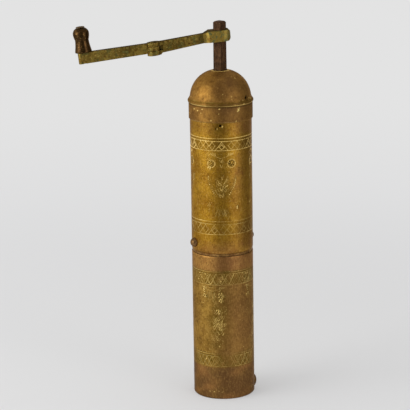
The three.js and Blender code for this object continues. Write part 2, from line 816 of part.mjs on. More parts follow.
function outerArm() {
  const plan = new THREE.Shape();
  plan.moveTo(0, -armHalfWidth);
  plan.lineTo(handleEnd - armHalfWidth, -armHalfWidth);
  plan.absarc(handleEnd - armHalfWidth, 0, armHalfWidth, -Math.PI / 2, Math.PI / 2, false);
  plan.lineTo(0, armHalfWidth);
  const side = new THREE.Shape();
  side.moveTo(0, handleRise);
  side.lineTo(0, -handleDrop);
  side.lineTo(forkRadius, -handleDrop);
  side.lineTo(handleEnd, -handleDrop - handleEndDrop);
  side.lineTo(handleEnd + runOut, -handleDrop - handleEndDrop);
  side.lineTo(handleEnd + runOut, handleRise);
  const bar = common(slab(plan, -handleHeight, handleRise), web(side, handleHeight));
  const forkSpace = rod(forkRadius + seatGap, -handleHeight, handleHeight, barFacets);
  const disc = rod(tongueRadius, -tongueHeight / 2, tongueHeight / 2, barFacets);
  const neckLength = forkRadius + armHalfWidth;
  const neck = box(neckLength, 2 * armHalfWidth, tongueHeight, neckLength / 2, 0, 0);
  const heel = common(
    slab(slantedRoot(slotRoot - seatGap, -heelHalfWidth, 0), -tongueHeight / 2, tongueHeight / 2),
    box(2 * slotRoot, 2 * heelHalfWidth, tongueHeight, -slotRoot, 0, 0));
  const pinHole = rod(hingePinRadius + slipGap, -handleHeight, handleHeight);
  const gap = slipGap;
  const tail = knobPinTail();
  const knobHole = lathe([
    [0, tail - handleHeight],
    [knobPinTailRadius + gap, tail - handleHeight],
    [knobPinTailRadius + gap, tail],
    [knobPinRadius + gap, tail + knobPinTailDepth],
    [knobPinRadius + gap, handleHeight],
    [0, handleHeight],
  ], smallFacets).translate(handleKnobReach, 0, 0);
  const blank = join(cut(bar, forkSpace), disc, neck, heel);
  return piece('outer_arm', cut(blank, pinHole, knobHole), greenBrass);
}

// Knob: a flared skirt, a narrow neck and a ball, turning on a riveted pin
function knob() {
  const bottom = handleRise + seatGap;
  const bore = knobPinRadius + seatGap;
  const flare = [];
  const flareSteps = 5;
  for (let i = 0; i <= flareSteps; i += 1) {
    const share = i / flareSteps;
    const radius = knobBaseRadius + (knobNeckRadius - knobBaseRadius) * Math.sin(share * Math.PI / 2);
    flare.push([radius, bottom + knobLipHeight + (knobNeckHeight - knobLipHeight) * share]);
  }
  const ballBottom = knobBallHeight - knobNeckHeight;
  const ballTop = knobHeight - knobBallHeight;
  const ball = [];
  const crown = Math.acos(knobCrownRadius / knobBallRadius);
  const foot = -Math.acos(knobNeckRadius / knobBallRadius);
  const ballSteps = 7;
  for (let i = 1; i <= ballSteps; i += 1) {
    const angle = foot + (crown - foot) * i / ballSteps;
    const limit = angle < 0 ? ballBottom / Math.sin(-foot) : ballTop / Math.sin(crown);
    ball.push([knobBallRadius * Math.cos(angle), bottom + knobBallHeight + limit * Math.sin(angle)]);
  }
  const profile = [
    [bore, bottom],
    [knobBaseRadius, bottom],
    ...flare,
    ...ball,
    [bore, bottom + knobHeight],
  ];
  return piece('knob', ring(profile, barFacets), darkBronze);
}

function knobPin() {
  const tail = knobPinTail() + wallGap;
  const face = handleRise + 2 * seatGap + knobHeight;
  const pin = lathe([
    [0, tail],
    [knobPinTailRadius, tail],
    [knobPinRadius, tail + knobPinTailDepth],
    [knobPinRadius, face],
    [knobPinHeadRadius, face],
    [knobPinHeadRadius, face + knobPinHeadHeight / 2],
    [knobPinRadius, face + knobPinHeadHeight],
    [0, face + knobPinHeadHeight],
  ], smallFacets);
  return piece('knob_pin', pin, brownBrass);
}

// Assembly
const knobGroup = group(knob(), knobPin());
knobGroup.position.x = handleKnobReach;

const handleGroup = group(outerArm(), hingePin(), knobGroup);
handleGroup.position.set(hingeReach, 0, hingeDrop);
handleGroup.rotation.y = rad(handleBendAngle);

const crankGroup = group(innerArm(), handleGroup);
crankGroup.position.z = eyeHeight;
crankGroup.rotation.set(0, rad(eyeDroopAngle), rad(crankAzimuth), 'ZYX');

const mill = group(
  receiverTube(),
  basePlate(),
  baseStud(),
  hopperTube(),
  couplingSleeve(),
  bodyRivet('body_rivet_left', leftRivetAzimuth),
  bodyRivet('body_rivet_right', rightRivetAzimuth),
  ringBurr(),
  bottomBridge(),
  bridgeScrew('bridge_screw_front', -1),
  bridgeScrew('bridge_screw_rear', 1),
  guideBridge(),
  guideRivet(),
  lidSkirt(),
  lidDome(),
  driveShaft(),
  coneBurr(),
  conePin(),
  thrustPad(),
  adjustingScrew(),
  crankGroup,
);

export default mill;
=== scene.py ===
# Looks of the old brass spice mill: hand-engraved tubes, domed lid, folding crank and turned knob.
# Lengths are in millimetres until a mesh is made, and in metres for the camera and the studio.
# Azimuths are degrees from +X, seen from above.
import random
from math import acos, asin, cos, degrees, hypot, pi, radians, sin, sqrt

import bmesh
import bpy
import numpy as np
from mathutils import Matrix, Vector


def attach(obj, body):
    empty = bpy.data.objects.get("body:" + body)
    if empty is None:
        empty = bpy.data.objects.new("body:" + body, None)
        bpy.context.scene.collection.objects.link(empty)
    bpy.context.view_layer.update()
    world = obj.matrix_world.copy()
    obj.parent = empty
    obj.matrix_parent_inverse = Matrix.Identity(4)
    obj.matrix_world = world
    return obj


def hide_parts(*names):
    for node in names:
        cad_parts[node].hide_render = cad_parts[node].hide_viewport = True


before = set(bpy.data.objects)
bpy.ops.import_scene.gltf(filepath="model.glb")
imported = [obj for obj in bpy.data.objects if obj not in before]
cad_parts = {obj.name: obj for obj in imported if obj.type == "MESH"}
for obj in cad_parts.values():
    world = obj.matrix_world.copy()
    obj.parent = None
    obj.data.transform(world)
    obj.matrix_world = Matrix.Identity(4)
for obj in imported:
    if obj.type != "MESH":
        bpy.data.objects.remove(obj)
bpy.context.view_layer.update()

MM = 0.001

# Both tubes: outer radius, wall, the bevel of their rims, and their ends
TUBE = 23.0
WALL = 1.0
RIM_BEVEL = 0.22
RECEIVER_TOP = 111.4
HOPPER_BOTTOM, HOPPER_TOP = 113.3, 224.3

# Engraved walls: points round the tube, the rows' spacing inside and outside the engraving,
# the depth of a full cut, and how many points the worked ground reaches past a cut
COLUMNS = 400
FINE_ROW, COARSE_ROW = 0.36, 1.6
CUT_DEPTH = 0.16
GROUND_REACH = 7

# Engraved bands: bottom and top
HOPPER_HIGH_BAND = (192.4, 199.3)
HOPPER_LOW_BAND = (128.7, 136.4)
RECEIVER_HIGH_BAND = (89.9, 98.4)
RECEIVER_LOW_BAND = (26.1, 34.3)

# Open holes: radius, azimuth and height
PIN_HOLE = (0.95, 268.5, 210.7)
DOME_HOLE = (1.1, 325.7, 229.3)

# The lid's skirt, the step inside it, and the bead round its top
SKIRT_INNER, SKIRT_OUTER = 23.25, 23.8
SKIRT_BOTTOM, SKIRT_STEP = 212.7, 224.6
BEAD_RADIUS, BEAD_HEIGHT, BEAD_SIZE = 22.9, 226.0, 1.45
BEAD_TOP = BEAD_HEIGHT + BEAD_SIZE
LID_COLUMNS = 240

# Range of a random phase
PHASES = 6.28


# Objects and camera

def in_scene(name, data):
    item = bpy.data.objects.new(name, data)
    bpy.context.collection.objects.link(item)
    return item


def mesh_of(name, bm):
    mesh = bpy.data.meshes.new(name)
    bm.to_mesh(mesh)
    bm.free()
    return mesh


YAW, PITCH, ROLL = -0.484, 14.077, -0.890
CAMERA_PLACE = (0, -1.5, 0.52178)
FOCAL_PIXELS, IMAGE_PIXELS = 2066.4, 410
SENSOR_WIDTH = 36


def place_camera():
    yaw, pitch, roll = (radians(a) for a in (YAW, PITCH, ROLL))
    level = cos(pitch)
    ahead = Vector((sin(yaw) * level, cos(yaw) * level, -sin(pitch)))
    right = Vector((cos(yaw), -sin(yaw), 0))
    up = right.cross(ahead)
    turned_right = cos(roll) * right + sin(roll) * up
    turned_up = -sin(roll) * right + cos(roll) * up
    data = bpy.data.cameras.new("camera")
    data.sensor_width = SENSOR_WIDTH
    data.lens = SENSOR_WIDTH * FOCAL_PIXELS / IMAGE_PIXELS
    data.clip_end = 50
    camera = in_scene("camera", data)
    columns = (turned_right, turned_up, -ahead)
    turn = Matrix([[c[i] for c in columns] for i in range(3)])
    camera.matrix_world = Matrix.Translation(CAMERA_PLACE) @ turn.to_4x4()
    bpy.context.scene.camera = camera


place_camera()


# Node helpers

def linear(*rgb):
    def channel(v):
        v /= 255
        return v / 12.92 if v <= 0.04045 else ((v + 0.055) / 1.055) ** 2.4
    return tuple(channel(v) for v in rgb) + (1,)


class Nodes:
    """Short calls for a material's node tree."""

    def __init__(self, name):
        self.material = bpy.data.materials.new(name)
        self.material.use_nodes = True
        self.tree = self.material.node_tree
        self.tree.nodes.clear()
        self.output = self.tree.nodes.new("ShaderNodeOutputMaterial")

    def add(self, kind, inputs=None, **settings):
        node = self.tree.nodes.new("ShaderNode" + kind)
        for key, value in settings.items():
            setattr(node, key, value)
        for key, value in (inputs or {}).items():
            self.feed(node.inputs[key], value)
        return node

    def feed(self, socket, value):
        if hasattr(value, "is_output"):
            self.tree.links.new(value, socket)
        else:
            socket.default_value = value

    def math(self, operation, a, b, clamp=False):
        node = self.add("Math", operation=operation, use_clamp=clamp)
        self.feed(node.inputs[0], a)
        self.feed(node.inputs[1], b)
        return node.outputs[0]

    def times(self, a, b):
        return self.math("MULTIPLY", a, b)

    def mix(self, factor, a, b):
        node = self.add("Mix", data_type="RGBA")
        for socket, value in ((0, factor), (6, a), (7, b)):
            self.feed(node.inputs[socket], value)
        return node.outputs[2]

    def coats(self, color, coats):
        """The colour under its coats: each is a mask and an sRGB colour."""
        for mask, shade in coats:
            color = self.mix(mask, color, linear(*shade))
        return color

    def ramp(self, value, low, high, to_low=0.0, to_high=1.0):
        node = self.add("MapRange", interpolation_type="SMOOTHSTEP")
        for socket, v in zip(node.inputs[:5], (value, low, high, to_low, to_high)):
            self.feed(socket, v)
        return node.outputs[0]

    def position(self, scale=(1, 1, 1)):
        coords = self.add("TexCoord").outputs["Object"]
        scale = tuple(1000 * s for s in scale)
        return self.add("Mapping", {"Vector": coords, "Scale": scale}).outputs[0]

    def noise(self, scale, detail, roughness=0.55, stretch=(1, 1, 1)):
        inputs = {"Vector": self.position(stretch), "Scale": scale, "Detail": detail}
        return self.add("TexNoise", {**inputs, "Roughness": roughness}).outputs["Fac"]

    def attribute(self, name):
        return self.add("Attribute", attribute_name=name).outputs["Fac"]

    def finish(self, color, roughness, height, metallic, distance, strength, edge=None):
        """Edge is the colour that a metal takes where it is seen almost edge on."""
        bump = self.add("Bump", {"Height": height, "Distance": distance, "Strength": strength})
        shader = self.add("BsdfPrincipled", {
            "Normal": bump.outputs[0], "Base Color": color, "Roughness": roughness,
            "Metallic": metallic})
        if edge:
            shader.inputs["Specular Tint"].default_value = edge
        self.tree.links.new(shader.outputs[0], self.output.inputs[0])
        return self.material


# Materials, from sRGB colours

PALE_BRASS = (206, 164, 92)
BROWN_STAIN_AND_SHADE = (113, 80, 47)
COPPER = (178, 121, 74)
OLIVE_GROUND = (108, 84, 18)
BRIGHT_LIP = (238, 200, 112)
GROOVE_DIRT = (40, 28, 10)
VERDIGRIS = (84, 102, 72)
TOP_DARKENING = (50, 38, 20)


def crank_coats(n, color, mottle, top_darkening):
    """Green and brown patches by the distance along the crank, lighter over the eye and paler at
    its round end, painted shade on the taper beside the eye, and a darker colour on the upward
    faces.
    """
    flakes = n.noise(0.55, 5.0, 0.7)
    green = n.noise(0.3, 3.0, 0.6, (1, 1, 1.4))
    blotch = n.noise(0.34, 3.0, 0.6)
    along = n.add("SeparateXYZ", {"Vector": n.position()}).outputs["X"]
    normal = n.add("NewGeometry").outputs["Normal"]
    up = n.add("SeparateXYZ", {"Vector": normal}).outputs["Z"]
    eye = n.ramp(along, -10, -8)
    # Painted shade on the taper between the arm and the eye
    taper_shade = n.times(n.ramp(along, -20, -13), n.ramp(along, -10.5, -8.5, 0.7, 0.0))
    lying = n.times(n.ramp(up, 0.5, 0.95), n.ramp(mottle, 0.3, 0.5, 0.6, 1.0))
    color = n.coats(color, (
        (n.ramp(green, 0.5, 0.66, 0.0, 0.7), (104, 108, 62)),
        (n.ramp(flakes, 0.54, 0.64, 0.0, 0.75), (96, 62, 24)),
        (n.ramp(flakes, 0.34, 0.44, 0.7, 0.0), (196, 172, 92)),
        (n.ramp(along, -10, -8, 0.0, 0.5), (178, 150, 70)),
        (n.ramp(along, 2, 8, 0.0, 0.5), (132, 130, 76)),
        (n.times(eye, n.ramp(blotch, 0.5, 0.6, 0.0, 0.7)), VERDIGRIS),
        (n.times(eye, n.ramp(blotch, 0.36, 0.46, 0.7, 0.0)), (120, 84, 36)),
        (taper_shade, (70, 58, 24)),
        (n.times(lying, top_darkening), TOP_DARKENING)))
    return color, lying


def aged_brass(name, light, dark, stain, engraved=False, rough=0.36, grain=1.0, metallic=1.0,
               top_darkening=0.0):
    """Old brass: patches of bright metal and brown patina, fine scratches, dirt in every groove.
    Only the crank is darker on its upward faces."""
    n = Nodes(name)
    patches = n.noise(0.045, 4.0, 0.6)
    mottle = n.noise(0.22, 4.0, 0.62)
    grit = n.noise(1.5, 3.0, 0.6)
    streaks = n.noise(0.9, 2.0, 0.5, (1, 1, 0.06))
    rings = n.noise(1.6, 2.0, 0.5, (0.04, 0.04, 1))
    freckles = n.noise(0.75, 2.0, 0.5)
    blend = n.math("ADD", n.times(patches, 0.62), n.times(mottle, 0.38))
    color = n.mix(n.ramp(blend, 0.38, 0.62), linear(*light), linear(*dark))
    color = n.coats(color, (
        (n.ramp(mottle, 0.55, 0.78, 0.0, 0.6), stain),
        (n.ramp(streaks, 0.52, 0.75, 0.0, 0.32), dark)))
    calm = 1.0
    if engraved:
        tone = n.attribute("tone")
        strands = n.noise(1.2, 2.0, 0.5, (1, 1, 0.3))
        color = n.coats(color, (
            # Tone is real brown stain, and also painted shade on the right and front of the tubes
            # and the skirt
            (n.times(tone, n.ramp(patches, 0.25, 0.6, 0.8, 1.0)), BROWN_STAIN_AND_SHADE),
            (n.attribute("copper"), COPPER),
            (n.ramp(strands, 0.5, 0.66, 0.0, 0.17 * grain), (84, 58, 20)),
            (n.ramp(strands, 0.34, 0.48, 0.12 * grain, 0.0), PALE_BRASS)))
        calm = n.math("SUBTRACT", 1.0, n.times(tone, 0.6))
    grains = (
        (n.ramp(freckles, 0.56, 0.68, 0.0, 0.4 * grain), (74, 48, 20)),
        (n.ramp(freckles, 0.32, 0.42, 0.35 * grain, 0.0), PALE_BRASS),
        (n.ramp(grit, 0.62, 0.78, 0.0, 0.45 * grain), (46, 30, 14)),
        (n.ramp(grit, 0.24, 0.38, 0.35 * grain, 0.0), (214, 176, 104)))
    color = n.coats(color, [(n.times(mask, calm), shade) for mask, shade in grains])
    uneven = n.times(n.math("SUBTRACT", mottle, 0.5), 0.35)
    rough_value = n.math("ADD", rough, uneven)
    height = n.math("ADD", n.times(grit, 0.5), n.times(rings, 0.35))
    height = n.math("ADD", height, n.times(mottle, 1.2))
    if engraved:
        worn_ground = n.ramp(mottle, 0.3, 0.6, 0.4, 1.0)
        field = n.math("MULTIPLY", n.attribute("field"), worn_ground, clamp=True)
        # lip: a pale, less metallic colour, mostly painted highlight on the cuts' lips, burrs and
        # the lid's edges; on the dome it also holds pale solder
        lip = n.ramp(n.attribute("lip"), 0.05, 0.6)
        color = n.coats(color, (
            (n.times(field, 0.75), OLIVE_GROUND),
            (lip, BRIGHT_LIP),
            (n.attribute("cut"), GROOVE_DIRT)))
        metallic = n.math("SUBTRACT", metallic, n.times(lip, 0.75))
    if top_darkening:
        color, lying = crank_coats(n, color, mottle, top_darkening)
        rough_value = n.math("ADD", rough_value, n.times(lying, 0.2))
    edge = linear(212, 204, 196)
    return n.finish(color, rough_value, height, metallic, 0.00012, 0.55 * grain, edge)


def rusty_steel():
    n = Nodes("rusty_steel")
    mottle = n.noise(0.35, 5.0, 0.65)
    grit = n.noise(2.2, 3.0, 0.65)
    long_marks = n.noise(1.4, 2.0, 0.5, (1, 1, 0.12))
    color = n.mix(n.ramp(mottle, 0.35, 0.65), linear(80, 52, 26), linear(57, 36, 18))
    color = n.coats(color, (
        (n.ramp(long_marks, 0.55, 0.7, 0.0, 0.5), (118, 92, 64)),
        (n.ramp(grit, 0.58, 0.72, 0.0, 0.7), (40, 24, 14))))
    height = n.math("ADD", grit, n.times(mottle, 1.4))
    roughness = n.ramp(mottle, 0.3, 0.7, 0.5, 0.75)
    return n.finish(color, roughness, height, 0.4, 0.0002, 0.7, linear(180, 165, 150))


def dull_steel(name, shade):
    n = Nodes(name)
    mottle = n.noise(0.5, 4.0, 0.6)
    grit = n.noise(3.0, 3.0, 0.6)
    bright = linear(*shade)
    low = tuple(v * 0.55 for v in bright[:3]) + (1,)
    color = n.mix(n.ramp(mottle, 0.35, 0.65), bright, low)
    color = n.coats(color, [(n.ramp(grit, 0.58, 0.74, 0.0, 0.5), (58, 38, 24))])
    return n.finish(color, n.ramp(mottle, 0.3, 0.7, 0.32, 0.58), grit, 1.0, 0.0001, 0.5)


golden = aged_brass("golden_brass", (191, 144, 43), (150, 106, 26), (136, 86, 24), engraved=True)
brown = aged_brass("brown_brass", (190, 148, 68), (142, 106, 44), (120, 82, 38), engraved=True,
                   rough=0.42, grain=1.15)
lid_brass = aged_brass("lid_brass", (176, 130, 60), (128, 90, 40), (112, 72, 32), engraved=True,
                       rough=0.55, grain=0.65)
arm_brass = aged_brass("arm_brass", (162, 136, 62), (108, 88, 36), (120, 78, 32), rough=0.5,
                       grain=1.3, top_darkening=0.75)
plain_brass = aged_brass("plain_brass", (176, 134, 78), (122, 86, 48), (98, 64, 38))
rivet_brass = aged_brass("rivet_brass", (152, 116, 74), (96, 70, 42), (70, 48, 28), rough=0.46)
knob_bronze = aged_brass("knob_bronze", (76, 54, 30), (46, 32, 16), (34, 24, 12), rough=0.26,
                         grain=0.6)
cap_bronze = aged_brass("cap_bronze", (112, 88, 56), (72, 54, 32), (48, 34, 18), rough=0.3)
bright_solder = aged_brass("bright_solder", (232, 202, 118), (200, 160, 78), (150, 108, 50),
                           metallic=0.3)
rust = rusty_steel()
steel = dull_steel("dull_steel", (140, 134, 124))
burr_iron = dull_steel("burr_iron", (92, 88, 84))


# Mesh helpers

def dress(mesh, material):
    mesh.materials.clear()
    mesh.materials.append(material)


def new_piece(name, mesh, material, body, replaced):
    piece = in_scene(name, mesh)
    dress(mesh, material)
    mesh.shade_smooth()
    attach(piece, body)
    if replaced:
        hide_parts(*replaced)
    return piece


def angles_round(columns):
    return np.arange(columns) * 2 * np.pi / columns


def heights_of(profile):
    return np.array([z for _, z in profile])[:, None]


def off(u, z, reach, angle):
    """The point at a distance from another, in a direction."""
    return u + reach * cos(angle), z + reach * sin(angle)


def revolve(name, profile, columns, offset=None, layers=None):
    """A closed ring section of (r, z) pairs turned about Z; offset changes each vertex's radius."""
    profile = np.array(profile, float)
    rows = len(profile)
    angle = angles_round(columns)
    radius = np.repeat(profile[:, :1], columns, 1)
    if offset is not None:
        radius = radius + offset
    height = np.repeat(profile[:, 1:], columns, 1)
    xyz = np.stack([radius * np.cos(angle), radius * np.sin(angle), height], 2) * MM
    row = np.arange(rows)[:, None] * columns
    col = np.arange(columns)[None, :]
    row_next, col_next = np.roll(row, -1), np.roll(col, -1)
    corners = (row + col, row + col_next, row_next + col_next, row_next + col)
    quads = np.stack(corners, 2).reshape(-1, 4)
    mesh = bpy.data.meshes.new(name)
    mesh.from_pydata(xyz.reshape(-1, 3).tolist(), [], quads.tolist())
    for layer, values in (layers or {}).items():
        data = mesh.attributes.new(layer, "FLOAT", "POINT")
        values = np.broadcast_to(values, (rows, columns)).reshape(-1)
        data.data.foreach_set("value", values.astype(np.float32))
    mesh.validate()
    return mesh


def solid_of_revolution(name, profile, columns):
    """As revolve, for a profile that starts and ends on the axis."""
    bm = bmesh.new()
    turn = [2 * pi * k / columns for k in range(columns)]
    rings = []
    for r, z in profile:
        if r < 1e-6:
            rings.append([bm.verts.new((0, 0, z * MM))])
        else:
            places = [(r * cos(t) * MM, r * sin(t) * MM, z * MM) for t in turn]
            rings.append([bm.verts.new(place) for place in places])
    for low, high in zip(rings, rings[1:]):
        for k in range(columns):
            j = (k + 1) % columns
            sides = (low, k), (low, j), (high, j), (high, k)
            unique = list(dict.fromkeys(ring[i % len(ring)] for ring, i in sides))
            if len(unique) > 2:
                bm.faces.new(unique)
    bmesh.ops.recalc_face_normals(bm, faces=bm.faces)
    return mesh_of(name, bm)


def out_of_wall(azimuth, height):
    """Turns what is drawn along +Z so that it points out of the tube's wall."""
    turn = Matrix.Rotation(radians(azimuth), 4, "Z")
    place = Matrix.Translation((TUBE * MM, 0, height * MM))
    return turn @ place @ Matrix.Rotation(pi / 2, 4, "Y")


def drilled(mesh, radius, azimuth, height):
    """The mesh with a round hole cut through its near wall."""
    bm = bmesh.new()
    bmesh.ops.create_cone(bm, cap_ends=True, segments=24, radius1=radius * MM,
                          radius2=radius * MM, depth=8 * MM)
    bm.transform(out_of_wall(azimuth, height))
    piece = in_scene("drill_work", mesh)
    tool = in_scene("drill", mesh_of("drill", bm))
    modifier = piece.modifiers.new("hole", "BOOLEAN")
    modifier.operation = "DIFFERENCE"
    modifier.solver = "EXACT"
    modifier.object = tool
    evaluated = piece.evaluated_get(bpy.context.evaluated_depsgraph_get())
    result = bpy.data.meshes.new_from_object(evaluated)
    bpy.data.objects.remove(piece)
    bpy.data.objects.remove(tool)
    return result


def from_node(node, name, material, body, bevel):
    """The node's own outline with its hard edges worn round."""
    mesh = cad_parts[node].data.copy()
    mesh.name = name
    bm = bmesh.new()
    bm.from_mesh(mesh)
    bmesh.ops.remove_doubles(bm, verts=bm.verts, dist=1e-6)
    bmesh.ops.dissolve_limit(bm, angle_limit=radians(1.5), verts=bm.verts, edges=bm.edges)
    bm.to_mesh(mesh)
    bm.free()
    piece = new_piece(name, mesh, material, body, [node])
    modifier = piece.modifiers.new("worn_edges", "BEVEL")
    modifier.width = bevel * MM
    modifier.segments = 3
    modifier.limit_method = "ANGLE"
    modifier.angle_limit = radians(32)
    modifier.harden_normals = True


def waves(azimuth, z, seed, cycles, reach):
    """Slow unevenness, mostly between -1 and 1, that closes round the tube."""
    local = random.Random(seed)
    total = np.zeros(np.broadcast(azimuth, z).shape)
    for _ in range(cycles * 3):
        k = local.randint(1, cycles + 1)
        m = local.uniform(-1, 1) * 2 * pi / reach
        total += np.sin(k * azimuth + m * z + local.uniform(0, PHASES))
    return total / (cycles * 1.8)


# Engraving: strokes cut into the unrolled wall of a tube

class Engraving:
    """Strokes by hand: dark at the bottom of the cut, and a painted highlight on the lips beside
    it.
    """

    def __init__(self, rows, seed):
        self.z = np.array(rows)
        self.around = 2 * pi * TUBE
        self.step = self.around / COLUMNS
        self.cut = np.zeros((len(rows), COLUMNS))
        self.lip = np.zeros((len(rows), COLUMNS))
        self.random = random.Random(seed)

    def at(self, azimuth):
        return radians(azimuth) * TUBE

    def stroke(self, points, width, dark, bright, shake=0.1):
        """points are (distance round the wall, height); each is cut a little off its place."""
        jitter = self.random.uniform
        points = [(u + jitter(-shake, shake), z + jitter(-shake, shake)) for u, z in points]
        for (u0, z0), (u1, z1) in zip(points, points[1:]):
            force = jitter(0.6, 1.0)
            self._segment(u0, z0, u1, z1, width, dark * force, bright * force)

    def _near(self, u0, z0, u1, z1, margin):
        """The part of the wall round a line: each point's distance from it and height above it."""
        low = np.searchsorted(self.z, min(z0, z1) - margin)
        high = np.searchsorted(self.z, max(z0, z1) + margin)
        first = int(np.floor((min(u0, u1) - margin) / self.step))
        last = int(np.ceil((max(u0, u1) + margin) / self.step))
        u = np.arange(first, last + 1) * self.step
        z = self.z[low:high][:, None]
        du, dz = u1 - u0, z1 - z0
        length = du * du + dz * dz + 1e-9
        t = np.clip(((u[None, :] - u0) * du + (z - z0) * dz) / length, 0, 1)
        away_z = z - z0 - t * dz
        block = np.ix_(np.arange(low, high), np.arange(first, last + 1) % COLUMNS)
        return block, np.hypot(u[None, :] - u0 - t * du, away_z), away_z

    def _segment(self, u0, z0, u1, z1, width, dark, bright):
        block, distance, away_z = self._near(u0, z0, u1, z1, 2.8 * width)
        core = dark * np.exp(-((distance / (0.8 * width)) ** 2))
        self.cut[block] = np.maximum(self.cut[block], core)
        # The lip below the cut gets the full painted highlight, as if lit from above; the lip above
        # it gets a trace
        beside = bright * np.exp(-((distance - 1.3 * width) / width) ** 2)
        lit = np.where(away_z < 0.3 * width, beside, 0.15 * beside)
        self.lip[block] = np.maximum(self.lip[block], lit)

    def dot(self, u, z, size, dark, bright=0.0):
        """A round prick, or a round burr shown as a painted glint: a pale spot with no relief."""
        block, distance, _ = self._near(u, z, u, z, 2 * size)
        spot = np.exp(-((distance / size) ** 4))
        self.cut[block] = np.maximum(self.cut[block], dark * spot)
        self.lip[block] = np.maximum(self.lip[block], bright * spot)

    def ring(self, z, dark, bright):
        """A cut right round the tube, in three slow waves."""
        count = 60
        drift = self.random.uniform(0, PHASES)
        points = []
        for k in range(count + 1):
            rise = 0.1 * sin(18.85 * k / count + drift)
            points.append((self.around * k / count, z + rise))
        self.stroke(points, 0.21, dark, bright, 0.05)

    def lozenge(self, u, z, half_u, half_z, dark, bright):
        """A diamond with a deep prick at its middle."""
        corners = [(u - half_u, z), (u, z + half_z), (u + half_u, z), (u, z - half_z)]
        self.stroke(corners + corners[:1], 0.2, dark, bright)
        self.dot(u, z, 0.42, max(dark, 0.9 * bright))

    def band(self, low, high, double, phase, roofs, dark=0.3, bright=1.0):
        """Rings with a row of roofs between them; lozenges stand in each roof and between roofs.
        Double is the distance of the second upper ring, phase the azimuth of the first roof."""
        pitch = self.around / roofs
        tall = high - low
        for z in (low, high, high + double):
            self.ring(z, dark, bright)
        half = 4.7
        between = 3
        gap = (pitch - 2 * half) / between
        for k in range(roofs):
            u = self.at(phase) + k * pitch
            roof = [(u - half, low + 0.4), (u, high - 0.5), (u + half, low + 0.4)]
            self.stroke(roof, 0.21, dark, bright)
            self.lozenge(u, low + 0.38 * tall, 1.9, 0.27 * tall, dark, bright)
            for i in range(between):
                v = u + half + gap * (i + 0.5)
                force = self.random.uniform(0.35, 1.0)
                weak, light = dark * force, bright * (0.5 + 0.5 * force)
                self.lozenge(v, low + 0.52 * tall, 0.45 * gap, 0.42 * tall, weak, light)

    def lattice(self, low, high, start, end, pitch, dark, bright):
        """Crossed slanting cuts from one azimuth to another."""
        u = self.at(start)
        while u < self.at(end):
            self.stroke([(u, low), (u + 0.8 * pitch, high)], 0.22, dark, bright)
            self.stroke([(u + 0.8 * pitch, low), (u, high)], 0.22, dark, bright)
            u += pitch * self.random.uniform(0.85, 1.15)

    def rosette(self, azimuth, z, radius, dark, bright):
        """A ring of deep round petals about an eye."""
        u = self.at(azimuth)
        rim = [off(u, z, radius, 2 * pi * k / 14) for k in range(15)]
        self.stroke(rim, 0.2, 0.3 * dark, bright, 0.05)
        for k in range(6):
            a = k * pi / 3 + 0.3
            self.dot(*off(u, z, 0.6 * radius, a), 0.24 * radius, dark)
            self.dot(*off(u, z, 0.55 * radius, a + pi / 6), 0.3, 0, bright)
        self.dot(u, z, 0.34, 0, bright)

    def leaf(self, u, z, length, width, dark, bright):
        """The two edges of a narrow leaf that hangs down."""
        steps = [i / 7 for i in range(8)]
        half = [width * sin(pi * t ** 0.8) for t in steps]
        for side in (-1, 1):
            edge = [(u + side * w, z - length * t) for w, t in zip(half, steps)]
            self.stroke(edge, 0.22, dark, bright)

    def dotted(self, points, dark, bright):
        """Single pricks along a line, about 1.6 apart, each beside a painted glint."""
        for (u0, z0), (u1, z1) in zip(points, points[1:]):
            count = max(1, round(hypot(u1 - u0, z1 - z0) / 1.6))
            for k in range(count):
                u, z = u0 + (u1 - u0) * k / count, z0 + (z1 - z0) * k / count
                force = self.random.uniform(0.3, 1.2)
                self.dot(u, z, 0.4, 0, bright * force)
                self.dot(u + 0.4, z + 0.7, 0.3, dark * force)

    def medallion(self, azimuth, top, tip, half, force):
        """Two dotted lines a side that draw together downward, and leaf cuts between them."""
        u = self.at(azimuth)
        tall = top - tip
        for side in (-1, 1):
            for inset, weight in ((0.0, 1.0), (1.6, 0.4)):
                edge = []
                for k in range(14):
                    share = k / 16
                    reach = max(half * cos(pi / 2 * share ** 1.1) - inset, 0)
                    edge.append((u + side * reach, top - inset - (tall - 2.5 * inset) * share))
                self.stroke(edge, 0.2, 0.4 * force, 0.05 * force, 0.12)
                self.dotted(edge, 0.6 * weight * force, 0.7 * weight * force)
        middle = (top + tip) / 2 + 0.15 * tall
        self.weave(azimuth, middle, 0.55 * half, 0.42 * tall, 60, 0.6 * force)

    def weave(self, azimuth, z, half_u, half_z, count, bright):
        """Short cuts that rise outward from a middle line, closer together near it."""
        u = self.at(azimuth)
        for _ in range(count):
            across = self.random.triangular(-1, 1, 0)
            x = u + half_u * across
            y = z + half_z * self.random.uniform(-1, 1) * sqrt(1 - across ** 2)
            reach = self.random.uniform(0.5, 1.1)
            side = 1 if across > 0 else -1
            force = self.random.uniform(0.2, 1.0)
            points = [(x - 0.4 * side * reach, y - reach), (x + 0.4 * side * reach, y + reach)]
            self.stroke(points, 0.2, 0.5 * self.random.uniform(0.3, 1.0), bright * force)

    def garland(self, azimuth, z, half, drop, force=1.0):
        """A shallow hanging line below a short deep cut, with a hatched corner at each end."""
        u = self.at(azimuth)
        line = [(u - half, z), (u - 0.1 * half, z - drop), (u + half, z)]
        self.stroke(line, 0.24, 0.3, 0.7 * force)
        self.stroke([(u - 0.3 * half, z + 0.4), (u, z + 0.4)], 0.3, 1.0, 0.4)
        for side in (-1, 1):
            for k in range(5):
                x = u + side * half * (1 - 0.1 * k)
                self.stroke([(x, z + 0.9), (x - side * 0.5, z - 0.15 * k)], 0.2, 0.2, 0.8 * force)

